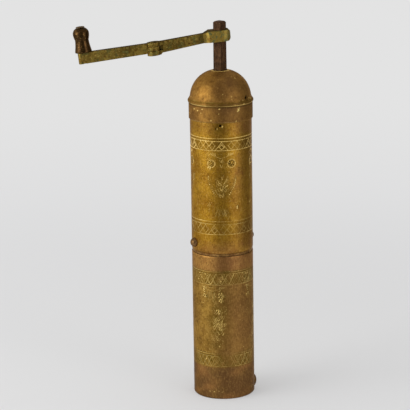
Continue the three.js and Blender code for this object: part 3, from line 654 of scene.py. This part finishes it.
    def foot(self, azimuth, low, high, half, force=1.0):
        """A worn stand of upright cuts, wider at its base."""
        u = self.at(azimuth)
        count = 9
        for k in range(count):
            lean = 2 * k / (count - 1) - 1
            wear_and_front_shade = self.random.uniform(0.3, 1.0)
            line = [(u + half * lean, low), (u + 0.7 * half * lean, high)]
            self.stroke(line, 0.22, 0.6 * force, 0.6 * wear_and_front_shade * force)
        self.weave(azimuth, (low + high) / 2, half + 1.5, high - low, 26, 0.6 * force)

    def hatch(self, azimuth, top, bottom, half, lean, bright, dark=0.5):
        """A pointed patch of slanting cuts that catch the light."""
        u = self.at(azimuth)
        z = top
        while z > bottom:
            t = (top - z) / (top - bottom)
            w = half * sin(pi * min(max(t, 0.06), 0.94)) ** 0.6
            x = -w
            while x < w:
                force = self.random.uniform(0.2, 1.0)
                cut = [(u + x, z), (u + x + 0.8, z + lean * 1.3)]
                self.stroke(cut, 0.2, dark * force, bright * force, 0.2)
                x += 1.5
            z -= 1.6

    def blossom(self, azimuth, z, half_u, half_z, count, bright):
        """A knot of burrs shown as painted glints, with dark pricks among them."""
        u = self.at(azimuth)
        for k in range(count):
            r = sqrt((k + 0.5) / count)
            a = 2.4 * k + self.random.uniform(-0.2, 0.2)
            x, y = u + half_u * r * cos(a), z + half_z * r * sin(a)
            self.dot(x, y, self.random.uniform(0.3, 0.5), 0, bright * self.random.uniform(0.4, 1.2))
            self.dot(x + 0.75, y + self.random.uniform(-0.6, 0.6), 0.36, 0.8)

    def glint_specks(self, low, high, count, azimuth, spread, bright):
        """Single burrs left by the tool, shown as painted glints."""
        for _ in range(count):
            u = self.at(azimuth + self.random.uniform(-spread, spread))
            z = self.random.uniform(low, high)
            size = self.random.uniform(0.2, 0.38)
            self.dot(u, z, size, 0, bright * self.random.uniform(0.3, 1.0))

    def scratches(self, azimuth, low, high, spread, count):
        """Dark lines across the wall, left by use."""
        for _ in range(count):
            u = self.at(azimuth + self.random.uniform(-spread, spread))
            z = self.random.uniform(low, high)
            reach = self.random.uniform(1.5, 4.0)
            self.stroke([(u, z), (u + reach, z - 0.35 * reach)], 0.24, 0.8, 0.2, 0.2)

    def spread(self, amount):
        """The cuts smeared over their surroundings: the worked ground of a pattern."""
        weights = np.exp(-np.linspace(-2, 2, 2 * amount + 1) ** 2)
        weights /= weights.sum()
        across = sum(w * np.roll(self.cut, k - amount, 1) for k, w in enumerate(weights))
        padded = np.pad(across, ((amount, amount), (0, 0)), mode="edge")
        rows = len(self.z)
        down = sum(w * padded[k:k + rows] for k, w in enumerate(weights))
        return np.clip(down * 3.0, 0, 1)


def rows_between(bottom, top, engraved):
    """Heights of a wall's rows, close together where it is engraved."""
    rows = []
    z = bottom
    while z < top - 0.3 * FINE_ROW:
        rows.append(z)
        inside = any(low - 1 < z < high + 1 for low, high in engraved)
        z += FINE_ROW if inside else COARSE_ROW
    rows.append(top)
    return rows


def engraved_tube(name, bottom, top, engraving, foot, shades, seed):
    """An engraved wall with its rims and inner face; the cuts go inward from the true radius.
    Foot is the bevel at the bottom, and a large one takes a row of its own."""
    angle = angles_round(COLUMNS)[None, :]
    z = engraving.z[:, None]
    wear = np.clip(0.66 + 0.55 * waves(angle, z, seed, 4, 20), 0.38, 1)
    dents = 0.05 * (1 + waves(angle, z, seed + 1, 3, 60))
    cut = engraving.cut * wear
    lip = np.clip(engraving.lip * (0.3 + 0.7 * wear), 0, 1)
    field = engraving.spread(GROUND_REACH) * wear
    wall = [(TUBE, v) for v in engraving.z]
    wall[0] = (TUBE - foot, bottom)
    wall[-1] = (TUBE, top - RIM_BEVEL)
    if foot > 0.3:
        wall.insert(1, (TUBE, bottom + foot))
        cut, lip, field, dents = (np.insert(v, 1, v[1], 0) for v in (cut, lip, field, dents))
    inner = TUBE - WALL
    profile = [(inner, bottom)] + wall + [(TUBE - RIM_BEVEL, top), (inner, top)]

    def full(values):
        return np.pad(values, ((1, 2), (0, 0)))
    layers = {"cut": full(cut), "lip": full(lip), "field": full(field)}
    for layer, values in shades(angle, heights_of(profile)).items():
        layers[layer] = np.clip(values + layers.get(layer, 0), 0, 1)
    return revolve(name, profile, COLUMNS, -full(CUT_DEPTH * cut + dents), layers)


def smooth_step(value, low, high):
    t = np.clip((value - low) / (high - low), 0, 1)
    return t * t * (3 - 2 * t)


def patch(angle, z, azimuth, height, half_angle, half_height):
    """A soft spot on the wall: 1 at its middle, 0 outside."""
    turn = np.abs((angle - radians(azimuth) + np.pi) % (2 * np.pi) - np.pi)
    return np.exp(-((turn / radians(half_angle)) ** 2) - ((z - height) / half_height) ** 2)


def make_hopper():
    art = Engraving(rows_between(HOPPER_BOTTOM, HOPPER_TOP, [(128, 202.5)]), 5)
    art.band(*HOPPER_HIGH_BAND, 2.1, 271, 6)
    art.band(*HOPPER_LOW_BAND, 2.3, 255, 6, 0.35, 0.75)
    for quarter in range(4):
        centre = 271 + 90 * quarter
        art.garland(centre, 189.4, 8.4, 2.9)
        art.rosette(centre + 18, 182.6, 3.1, 1.0, 0.85)
        art.rosette(centre - 20, 182.4, 2.8, 0.7, 1.0)
        art.hatch(centre - 22, 190.2, 186.6, 3.0, -1, 0.8, 0.3)
        art.blossom(centre - 23, 179.3, 1.6, 1.3, 5, 1.4)
        art.weave(centre - 1, 182.4, 3.0, 3.0, 16, 0.7)
        art.medallion(centre, 172.5, 152.8, 10.5, 1.4)
        art.hatch(centre - 7, 170.5, 164.5, 1.6, -1, 1.0)
        art.hatch(centre + 10, 171.5, 168.0, 1.3, 1, 0.8)
        art.foot(centre, 142.4, 147.6, 5.6)
        art.glint_specks(142, 190, 45, centre, 30, 0.6)
        art.hatch(centre + 64, 190, 184, 1.4, 1, 0.9)
        art.hatch(centre + 65, 152, 147, 1.4, 1, 0.9)
    art.scratches(214, 153, 163, 4, 5)
    art.scratches(300, 118, 190, 20, 5)
    art.blossom(299.5, 148.7, 0.35, 1.0, 4, 2.6)

    def shades(angle, z):
        stain = 0.5 + 0.5 * waves(angle, z, 31, 3, 40)
        low = smooth_step(-z, -127, -116)
        high = smooth_step(z, 201, 206)
        # right: painted shade on the hopper's right side; it also sets some copper tint near the
        # top
        right = smooth_step(np.cos(angle - radians(350)), 0.35, 0.95)
        olive = patch(angle, z, 276, 162, 11, 6) + 0.5 * patch(angle, z, 271, 145, 13, 4)
        high_band = smooth_step(z, 191.5, 192.5) * smooth_step(-z, -201.5, -200)
        low_band = smooth_step(z, 128, 129) * smooth_step(-z, -139, -137)
        bands = high_band + 0.7 * low_band
        return {
            "tone": (0.3 * stain * low + 0.3 * right + 0.12 * stain + 0.25 * high + 0.15 * olive
                     + 0.2 * bands),
            "copper": (0.35 * high * right + 0.3 * stain * patch(angle, z, 300, 165, 14, 40)
                       + 0.4 * low * stain),
            "cut": (patch(angle, z, 260.5, 208.6, 1.6, 0.6)
                    + 0.5 * patch(angle, z, *PIN_HOLE[1:], 4.4, 1.6)),
            "lip": (0.7 * patch(angle, z, 272.5, 210.0, 1.4, 0.8)
                    + 0.5 * patch(angle, z, 263.0, 208.6, 1.2, 0.7)),
            "field": 0.5 * olive + 0.4 * bands + 0.7 * patch(angle, z, 266, 209.6, 8, 3),
        }
    mesh = engraved_tube("hopper_wall", HOPPER_BOTTOM, HOPPER_TOP, art, 0.2, shades, 21)
    mesh = drilled(mesh, *PIN_HOLE)
    new_piece("hopper_wall", mesh, golden, "hopper", ["hopper_tube"])


def make_receiver():
    art = Engraving(rows_between(0.0, RECEIVER_TOP, [(4, 8), (24, 101)]), 8)
    art.band(*RECEIVER_HIGH_BAND, 1.6, 272, 6, 0.9, 0.55)
    art.lattice(90.2, 98.2, 285, 345, 5.2, 1.0, 0.55)
    art.lattice(90.6, 97.8, 236, 285, 4.6, 0.7, 0.7)
    art.band(*RECEIVER_LOW_BAND, 1.7, 262, 7, 0.9, 0.5)
    art.lattice(26.5, 33.9, 205, 335, 4.4, 0.8, 0.5)
    for z in (26.8, 29.2, 31.6):
        art.hatch(90, z, z - 0.9, 70, 1, 0.35, 0.6)
    for quarter in range(4):
        centre = 253 + 90 * quarter
        groove = [(art.at(centre + turn), 99.3) for turn in (8, 30)]
        art.stroke(groove, 0.4, 1.0, 0.0, 0.05)
        art.garland(centre - 3, 87.5, 9.0, 2.4, 0.6)
        art.blossom(centre - 20, 80.6, 1.9, 1.4, 7, 1.0)
        art.blossom(centre + 14, 81.2, 2.6, 2.6, 16, 0.8)
        art.blossom(centre + 13, 77.6, 1.3, 1.8, 5, 1.1)
        art.blossom(centre + 6, 68.6, 3.0, 1.9, 13, 1.1)
        for shift in (-3.6, -1.2, 1.2):
            art.leaf(art.at(centre - 3) + shift, 84.5, 6.0, 0.6, 0.6, 0.3)
        art.medallion(centre, 75.0, 52.0, 9.0, 0.5)
        art.weave(centre + 10, 70.0, 6.0, 18.0, 150, 0.6)
        art.weave(centre, 50.0, 7.5, 14.0, 110, 0.6)
        art.hatch(centre + 6, 63.5, 54.0, 3.4, 1, 0.9)
        art.hatch(centre - 8, 60.0, 50.0, 2.0, -1, 0.4)
        art.hatch(centre, 51.0, 45.0, 2.8, -1, 0.9)
        art.foot(centre, 38.5, 44.0, 5.5, 0.6)
        art.glint_specks(36, 98, 70, centre, 42, 0.6)
        art.glint_specks(90.5, 98, 45, centre - 22, 14, 1.0)
        art.glint_specks(91, 97.5, 22, centre + 18, 7, 1.1)
        art.glint_specks(26, 36, 45, centre, 42, 0.7)
        art.blossom(centre + 69, 85.0, 1.0, 2.4, 7, 0.9)
        art.blossom(centre + 9, 41.7, 0.4, 0.6, 2, 1.3)
        art.glint_specks(5.2, 6.6, 14, centre + 4, 16, 0.8)

    def shades(angle, z):
        stain = 0.5 + 0.5 * waves(angle, z, 47, 3, 40)
        base = smooth_step(-z, -26.5, -24.0)
        neck = smooth_step(z, 98.5, 101.0)
        # right: painted shade towards the front and right; it also sets some copper tint in the
        # middle
        right = smooth_step(np.cos(angle - radians(315)), 0.15, 0.85)
        mottle = smooth_step(waves(angle, z, 61, 6, 9), -0.2, 0.9)
        worked = smooth_step(z, 89.5, 91) * (1 - neck) + smooth_step(-z, -36, -34) * (1 - base)
        middle = (1 - base) * (1 - neck)
        # Painted shade on the front of the neck, which also deepens its olive ground
        wear_and_front_shade = patch(angle, z, 273, 105, 14, 9)
        return {
            "tone": ((1.0 - 0.3 * mottle) * base + (0.1 + 0.5 * right + 0.7 * wear_and_front_shade) * neck
                     + (0.6 * right + 0.2 * stain) * middle),
            "copper": (0.45 * base * mottle + 0.5 * neck * (0.6 + 0.4 * stain)
                       + 0.25 * stain * middle * right),
            "field": (0.4 * worked + 0.8 * patch(angle, z, 262, 62, 22, 24) * (1 - base)
                      + 0.3 * wear_and_front_shade),
        }
    mesh = engraved_tube("receiver_wall", 0.0, RECEIVER_TOP, art, 0.8, shades, 27)
    new_piece("receiver_wall", mesh, brown, "receiver", ["receiver_tube"])


# Lid

def flecks(angle, heights, seed, count, low, high, size):
    """Small bright flecks scattered over a wall."""
    local = random.Random(seed)
    total = np.zeros(np.broadcast(angle, heights).shape)
    for _ in range(count):
        azimuth, z = local.uniform(0, 360), local.uniform(low, high)
        reach = size * local.uniform(0.6, 1.4)
        force = local.uniform(0.3, 1.0)
        spot = patch(angle, heights, azimuth, z, degrees(reach / TUBE) * 1.3, reach)
        total = np.maximum(total, force * spot)
    return total


def line_at(heights, z, width):
    """A soft line round the wall: 1 at its height, 0 away from it."""
    return np.exp(-((heights - z) / width) ** 2)


def make_skirt():
    lean = acos((SKIRT_OUTER - BEAD_RADIUS) / BEAD_SIZE)
    tall = SKIRT_STEP - SKIRT_BOTTOM
    wall = [(SKIRT_OUTER, SKIRT_BOTTOM + 0.25 + tall * k / 16) for k in range(16)]
    bead = []
    for k in range(15):
        turn = -lean + (pi / 2 + lean) * k / 14
        bead.append(off(BEAD_RADIUS, BEAD_HEIGHT, BEAD_SIZE, turn))
    foot = [(SKIRT_INNER, SKIRT_BOTTOM), (SKIRT_OUTER - 0.2, SKIRT_BOTTOM)]
    step = [(20.8, BEAD_TOP), (20.8, SKIRT_STEP), (SKIRT_INNER, SKIRT_STEP)]
    profile = foot + wall + bead + step
    angle = angles_round(LID_COLUMNS)[None, :]
    heights = heights_of(profile)
    radii = np.array([r for r, _ in profile])[:, None]
    on_wall = (radii > SKIRT_OUTER - 0.3) & (heights < 225.2)
    offset = -0.07 * (1 + waves(angle, heights, 61, 4, 18)) * on_wall
    groove = line_at(heights, 224.4, 0.45) * (radii > 23)
    shine = line_at(heights, 225.2, 0.35) * (radii > 23.6) + 0.5 * line_at(heights, 213.0, 0.35)
    shine = shine * np.clip(0.6 + 0.5 * waves(angle, heights, 62, 5, 30), 0, 1)
    shine += 1.3 * flecks(angle, heights, 71, 40, 213, 226, 0.45) * (radii > 23)
    tone = 0.5 + 0.3 * waves(angle, heights, 63, 3, 25)
    # Painted shade towards the front and right of the skirt
    tone += 0.25 * smooth_step(np.cos(angle - radians(310)), 0.3, 0.9)
    layers = {
        "cut": 0.7 * groove,
        "lip": np.clip(0.65 * shine, 0, 1),
        "tone": np.clip(tone, 0, 1),
        "field": 0.6 * smooth_step(heights, 224.2, 225) * (radii > 20.9),
    }
    mesh = revolve("skirt_ring", profile, LID_COLUMNS, offset, layers)
    new_piece("skirt_ring", mesh, lid_brass, "lid", ["lid_skirt"])


def make_dome():
    """A superellipse of sheet, with the shaft's hole in its crown and a fillet of solder."""
    base, reach, rise, power = 2.3, 23.0, 23.6, 2.2
    sheet = 0.9
    shaft_side, shaft_gap = 7.0, 0.8
    centre = BEAD_TOP - base
    hole = shaft_side / sqrt(2) + shaft_gap

    def curve(radius, height, steps):
        start = asin((base / height) ** (power / 2))
        end = acos((hole / radius) ** (power / 2))
        points = []
        for k in range(steps + 1):
            a = start + (end - start) * k / steps
            z = centre + height * sin(a) ** (2 / power)
            points.append((radius * cos(a) ** (2 / power), z))
        return points
    fillet = [(23.95, -0.55), (23.7, -0.1), (23.45, 0.3), (23.25, 0.75)]
    outside = [(r, BEAD_TOP + z) for r, z in fillet]
    outside += [(r, z) for r, z in curve(reach, rise, 44) if z > BEAD_TOP + 1.2]
    profile = outside + curve(reach - sheet, rise - sheet, 14)[::-1]
    angle = angles_round(LID_COLUMNS)[None, :]
    heights = heights_of(profile)
    dented = np.zeros_like(heights)
    dented[5:len(outside) - 1] = 1
    offset = -0.09 * (1 + waves(angle, heights, 64, 4, 26)) * dented
    seam = line_at(heights, BEAD_TOP, 0.5)
    rim = line_at(heights, outside[-1][1], 0.35)
    drips = (flecks(angle, heights, 72, 26, 227.5, 233, 0.42)
             + flecks(angle, heights, 73, 10, 230, 246, 0.42))
    patches = np.clip(waves(angle, heights, 74, 8, 9), 0, 1)
    solder_line = line_at(heights, BEAD_TOP + 0.6, 0.9) * patches
    halo = 3 * patch(angle, heights, *DOME_HOLE[1:], 3.2, 1.25)
    tone = 0.3 + 0.4 * waves(angle, heights, 65, 3, 30)
    layers = {
        "cut": 0.1 * seam + halo,
        "lip": 0.5 * rim + 0.7 * drips + 0.7 * solder_line,
        "field": 0.8 * seam + solder_line + 0.6 * rim,
        "tone": tone,
    }
    layers = {layer: np.clip(values, 0, 1) for layer, values in layers.items()}
    mesh = revolve("dome_shell", profile, LID_COLUMNS, offset, layers)
    mesh = drilled(mesh, *DOME_HOLE)
    new_piece("dome_shell", mesh, lid_brass, "lid", ["lid_dome"])


def make_solder():
    """Three uneven drops on the skirt: azimuth, height and size of each."""
    bm = bmesh.new()
    drop_radius = SKIRT_OUTER - 0.08
    for azimuth, z, size in ((303.5, 221.9, 0.75), (301.2, 220.9, 0.5), (305.0, 222.9, 0.45)):
        a = radians(azimuth)
        made = bmesh.ops.create_icosphere(bm, subdivisions=3, radius=size * MM)
        squeeze = Matrix.Rotation(a, 4, "Z") @ Matrix.Diagonal((0.35, 1.2, 0.9, 1))
        bmesh.ops.transform(bm, matrix=squeeze, verts=made["verts"])
        shift = Vector((drop_radius * cos(a), drop_radius * sin(a), z)) * MM
        bmesh.ops.translate(bm, vec=shift, verts=made["verts"])
    for v in bm.verts:
        v.co *= 1 + 0.004 * sin(4000 * v.co.z) * cos(5200 * v.co.x)
    mesh = mesh_of("solder_drops", bm)
    new_piece("solder_drops", mesh, bright_solder, "lid", [])


# Rivets and stud

def make_stud(name, node, body, azimuth, z, radius, rise, material, seed):
    """A hammered dome bedded in the wall, on a shank."""
    shank, tail, bed = 1.5, -4.5, -1.2
    steps = 14
    ball = (radius ** 2 + rise ** 2) / (2 * rise)
    profile = [(0, tail), (shank, tail), (shank, bed), (radius, bed)]
    rim = acos(min(1, radius / ball))
    for k in range(steps + 1):
        a = rim + (pi / 2 - rim) * k / steps
        r = ball * cos(a) if k < steps else 0
        profile.append((r, rise - ball + ball * sin(a)))
    mesh = solid_of_revolution(name, profile, 48)
    draw = random.Random(seed).uniform
    facets = [Vector((draw(-1, 1), draw(-1, 1), draw(0.6, 1.6))).normalized() for _ in range(7)]
    centre = Vector((0, 0, (rise - ball) * MM))
    for v in mesh.vertices:
        if v.co.z > (bed + 0.1) * MM:
            ray = v.co - centre
            for facet in facets:
                over = ray.dot(facet) - 0.988 * ball * MM
                if over > 0:
                    ray -= facet * over * 0.8
            v.co = centre + ray
    mesh.transform(out_of_wall(azimuth, z))
    new_piece(name, mesh, material, body, [node])


# Knob and its pin, drawn upright and tilted with the outer arm; the hinge and the knob's axis stand
# where their joints do, in metres

TILT = Matrix.Rotation(radians(185), 4, "Z") @ Matrix.Rotation(radians(6.5), 4, "Y")
HINGE = Vector((-0.048394, -0.004234, 0.265597))
KNOB = Vector((-0.099072, -0.008668, 0.259801))
KNOB_BOTTOM = 4.5
KNOB_TOP = KNOB_BOTTOM + 17.9


def tilted(mesh, place):
    mesh.transform(Matrix.Translation(place) @ TILT)
    return mesh


def knob_profile():
    base, neck, ball = 6.15, 5.05, 5.95
    neck_z, ball_z = KNOB_BOTTOM + 9.2, KNOB_BOTTOM + 13.9
    lip_z = KNOB_BOTTOM + 0.9
    bore, crown_radius = 1.9, 3.2
    points = [(bore, KNOB_BOTTOM), (base - 0.25, KNOB_BOTTOM), (base, KNOB_BOTTOM + 0.25)]
    points.append((base, lip_z))
    for k in range(1, 13):
        t = k / 12
        r = base - (base - neck) * sin(t * pi / 2)
        points.append((r, lip_z + (neck_z - lip_z) * t))
    foot = -acos(neck / ball)
    crown = acos(crown_radius / ball)
    down = (ball_z - neck_z) / sin(-foot)
    up = (KNOB_TOP - ball_z) / sin(crown)
    for k in range(1, 19):
        a = foot + (crown - foot) * k / 18
        stretch = down if a < 0 else up
        points.append((ball * cos(a), ball_z + stretch * sin(a)))
    return points + [(bore, KNOB_TOP)]


def make_knob():
    mesh = tilted(revolve("knob_turned", knob_profile(), 96), KNOB)
    new_piece("knob_turned", mesh, knob_bronze, "grip", ["knob"])
    shank, head, crown = 1.6, 3.2, 0.4
    tail, face = -3.77, KNOB_TOP + 0.3
    profile = [(0, tail), (2.35, tail), (shank, tail + 1.1), (shank, face), (head - 0.1, face),
               (head, face + 0.1), (head, face + crown)]
    for k in range(1, 9):
        a = pi / 2 * k / 8
        r = head * cos(a) if k < 8 else 0
        profile.append((r, face + crown + crown * sin(a)))
    mesh = tilted(solid_of_revolution("knob_rivet", profile, 48), KNOB)
    new_piece("knob_rivet", mesh, cap_bronze, "handle", ["knob_pin"])


def make_hinge_pin():
    top, bottom = 4.65, -5.15
    head = [(1.7, 0), (2.3, 0), (2.4, 0.1), (2.1, 0.3), (1.3, 0.4), (0, 0.4)]
    profile = [(r, bottom - z) for r, z in reversed(head)] + [(r, top + z) for r, z in head]
    mesh = tilted(solid_of_revolution("hinge_rivet", profile, 48), HINGE)
    new_piece("hinge_rivet", mesh, arm_brass, "crank", ["hinge_pin"])


make_hopper()
make_receiver()
make_skirt()
make_dome()
make_solder()
for name, node, body, azimuth, z, radius, rise, seed in (
        ("left_rivet", "body_rivet_left", "hopper", 206, 119.7, 3.5, 3.3, 3),
        ("right_rivet", "body_rivet_right", "hopper", 27, 119.7, 3.5, 3.3, 4),
        ("low_stud", "base_stud", "receiver", 14, 6.2, 5.2, 2.2, 5)):
    make_stud(name, node, body, azimuth, z, radius, rise, rivet_brass, seed)
make_stud("rear_rivet", "guide_rivet", "hopper", 88.5, 210.7, 1.6, 0.7, plain_brass,
          6)
make_knob()
make_hinge_pin()
from_node("inner_arm", "inner_arm_filed", arm_brass, "crank", 0.3)
from_node("outer_arm", "outer_arm_filed", arm_brass, "handle", 0.3)
from_node("drive_shaft", "shaft_worn", rust, "spindle", 0.12)

# CAD nodes that keep their own shape
for material, nodes in (
        (plain_brass, ("base_plate", "coupling_sleeve", "guide_bridge", "bottom_bridge")),
        (burr_iron, ("ring_burr", "cone_burr")),
        (steel, ("cone_pin", "bridge_screw_front", "bridge_screw_rear", "thrust_pad",
                 "adjusting_screw"))):
    for node in nodes:
        dress(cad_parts[node].data, material)


# Floor, flags and lights

def make_floor():
    n = Nodes("floor")
    coords = n.add("TexCoord").outputs["Object"]
    away = n.add("VectorMath", {0: coords}, operation="LENGTH").outputs["Value"]
    grit = n.noise(0.02, 2.0)
    material = n.finish(linear(230, 230, 230), 0.9, grit, 0.0, 0.00005, 0.1)
    near = n.output.inputs[0].links[0].from_socket
    plain = n.mix(n.ramp(away, 0.2, 1.2), linear(220, 220, 221), linear(227, 227, 227))
    sheet = n.add("Emission", {"Color": plain})
    path = n.add("LightPath")
    seen = n.math("ADD", path.outputs["Is Camera Ray"], path.outputs["Is Glossy Ray"], clamp=True)
    # The floor glows with the plain backdrop colour for camera and glossy rays: fully far off, and
    # at 0.4 even beside the object, which pales the object's shadow
    fade = n.times(seen, n.ramp(away, 0.14, 0.7, 0.4, 1.0))
    blend = n.add("MixShader", {0: fade, 1: near, 2: sheet.outputs[0]})
    n.tree.links.new(blend.outputs[0], n.output.inputs[0])
    bm = bmesh.new()
    bmesh.ops.create_grid(bm, x_segments=8, y_segments=8, size=14)
    floor = in_scene("floor", mesh_of("floor", bm))
    floor.data.materials.append(material)


def make_flag(name, azimuth, distance, width, low, high, shade):
    """A card that only reflections see."""
    n = Nodes(name)
    shader = n.add("Emission", {"Color": (shade, shade, shade * 0.95, 1)})
    n.tree.links.new(shader.outputs[0], n.output.inputs[0])
    half = width / 2
    corners = [(0, -half, low), (0, half, low), (0, half, high), (0, -half, high)]
    mesh = bpy.data.meshes.new(name)
    mesh.from_pydata(corners, [], [(0, 1, 2, 3)])
    mesh.materials.append(n.material)
    card = in_scene(name, mesh)
    a = radians(azimuth)
    place = Matrix.Translation((distance * cos(a), distance * sin(a), 0))
    card.matrix_world = place @ Matrix.Rotation(a, 4, "Z")
    for ray in ("camera", "diffuse", "shadow", "transmission"):
        setattr(card, "visible_" + ray, False)


LAMP_AIM = Vector((0, 0, 0.12))


def make_lamp(name, azimuth, distance, height, size_x, size_y, power):
    data = bpy.data.lights.new(name, "AREA")
    data.shape = "RECTANGLE"
    data.size = size_x
    data.size_y = size_y
    data.energy = power
    lamp = in_scene(name, data)
    a = radians(azimuth)
    lamp.location = (distance * cos(a), distance * sin(a), height)
    lamp.rotation_euler = (LAMP_AIM - lamp.location).to_track_quat("-Z", "Y").to_euler()
    lamp.visible_camera = False
    return lamp


def make_world():
    world = bpy.data.worlds.new("studio")
    bpy.context.scene.world = world
    world.use_nodes = True
    tree = world.node_tree
    tree.nodes.clear()
    output, light, backdrop, path, mix = (tree.nodes.new("ShaderNode" + kind) for kind in (
        "OutputWorld", "Background", "Background", "LightPath", "MixShader"))
    light.inputs["Color"].default_value = (1, 1, 1, 1)
    light.inputs["Strength"].default_value = 0.65
    backdrop.inputs["Color"].default_value = linear(226, 227, 229)
    sources = (path.outputs["Is Camera Ray"], light.outputs[0], backdrop.outputs[0])
    for source, socket in zip(sources, mix.inputs):
        tree.links.new(source, socket)
    tree.links.new(mix.outputs[0], output.inputs[0])


make_floor()
make_flag("front_flag", 269, 0.42, 0.38, 0.0, 0.7, 0.25)
make_flag("left_card", 150, 0.6, 0.6, 0.0, 0.7, 0.92)
make_flag("right_flag", 13, 0.42, 0.5, 0.0, 0.6, 0.26)
make_lamp("left_softbox", 205, 1.3, 0.55, 1.0, 1.0, 8.0)
make_lamp("right_softbox", 316, 1.4, 0.5, 0.6, 0.9, 3.3)
make_lamp("top_softbox", 190, 0.9, 1.7, 1.2, 1.2, 4.0).visible_glossy = False
make_world()
bpy.context.scene.view_settings.view_transform = "Standard"
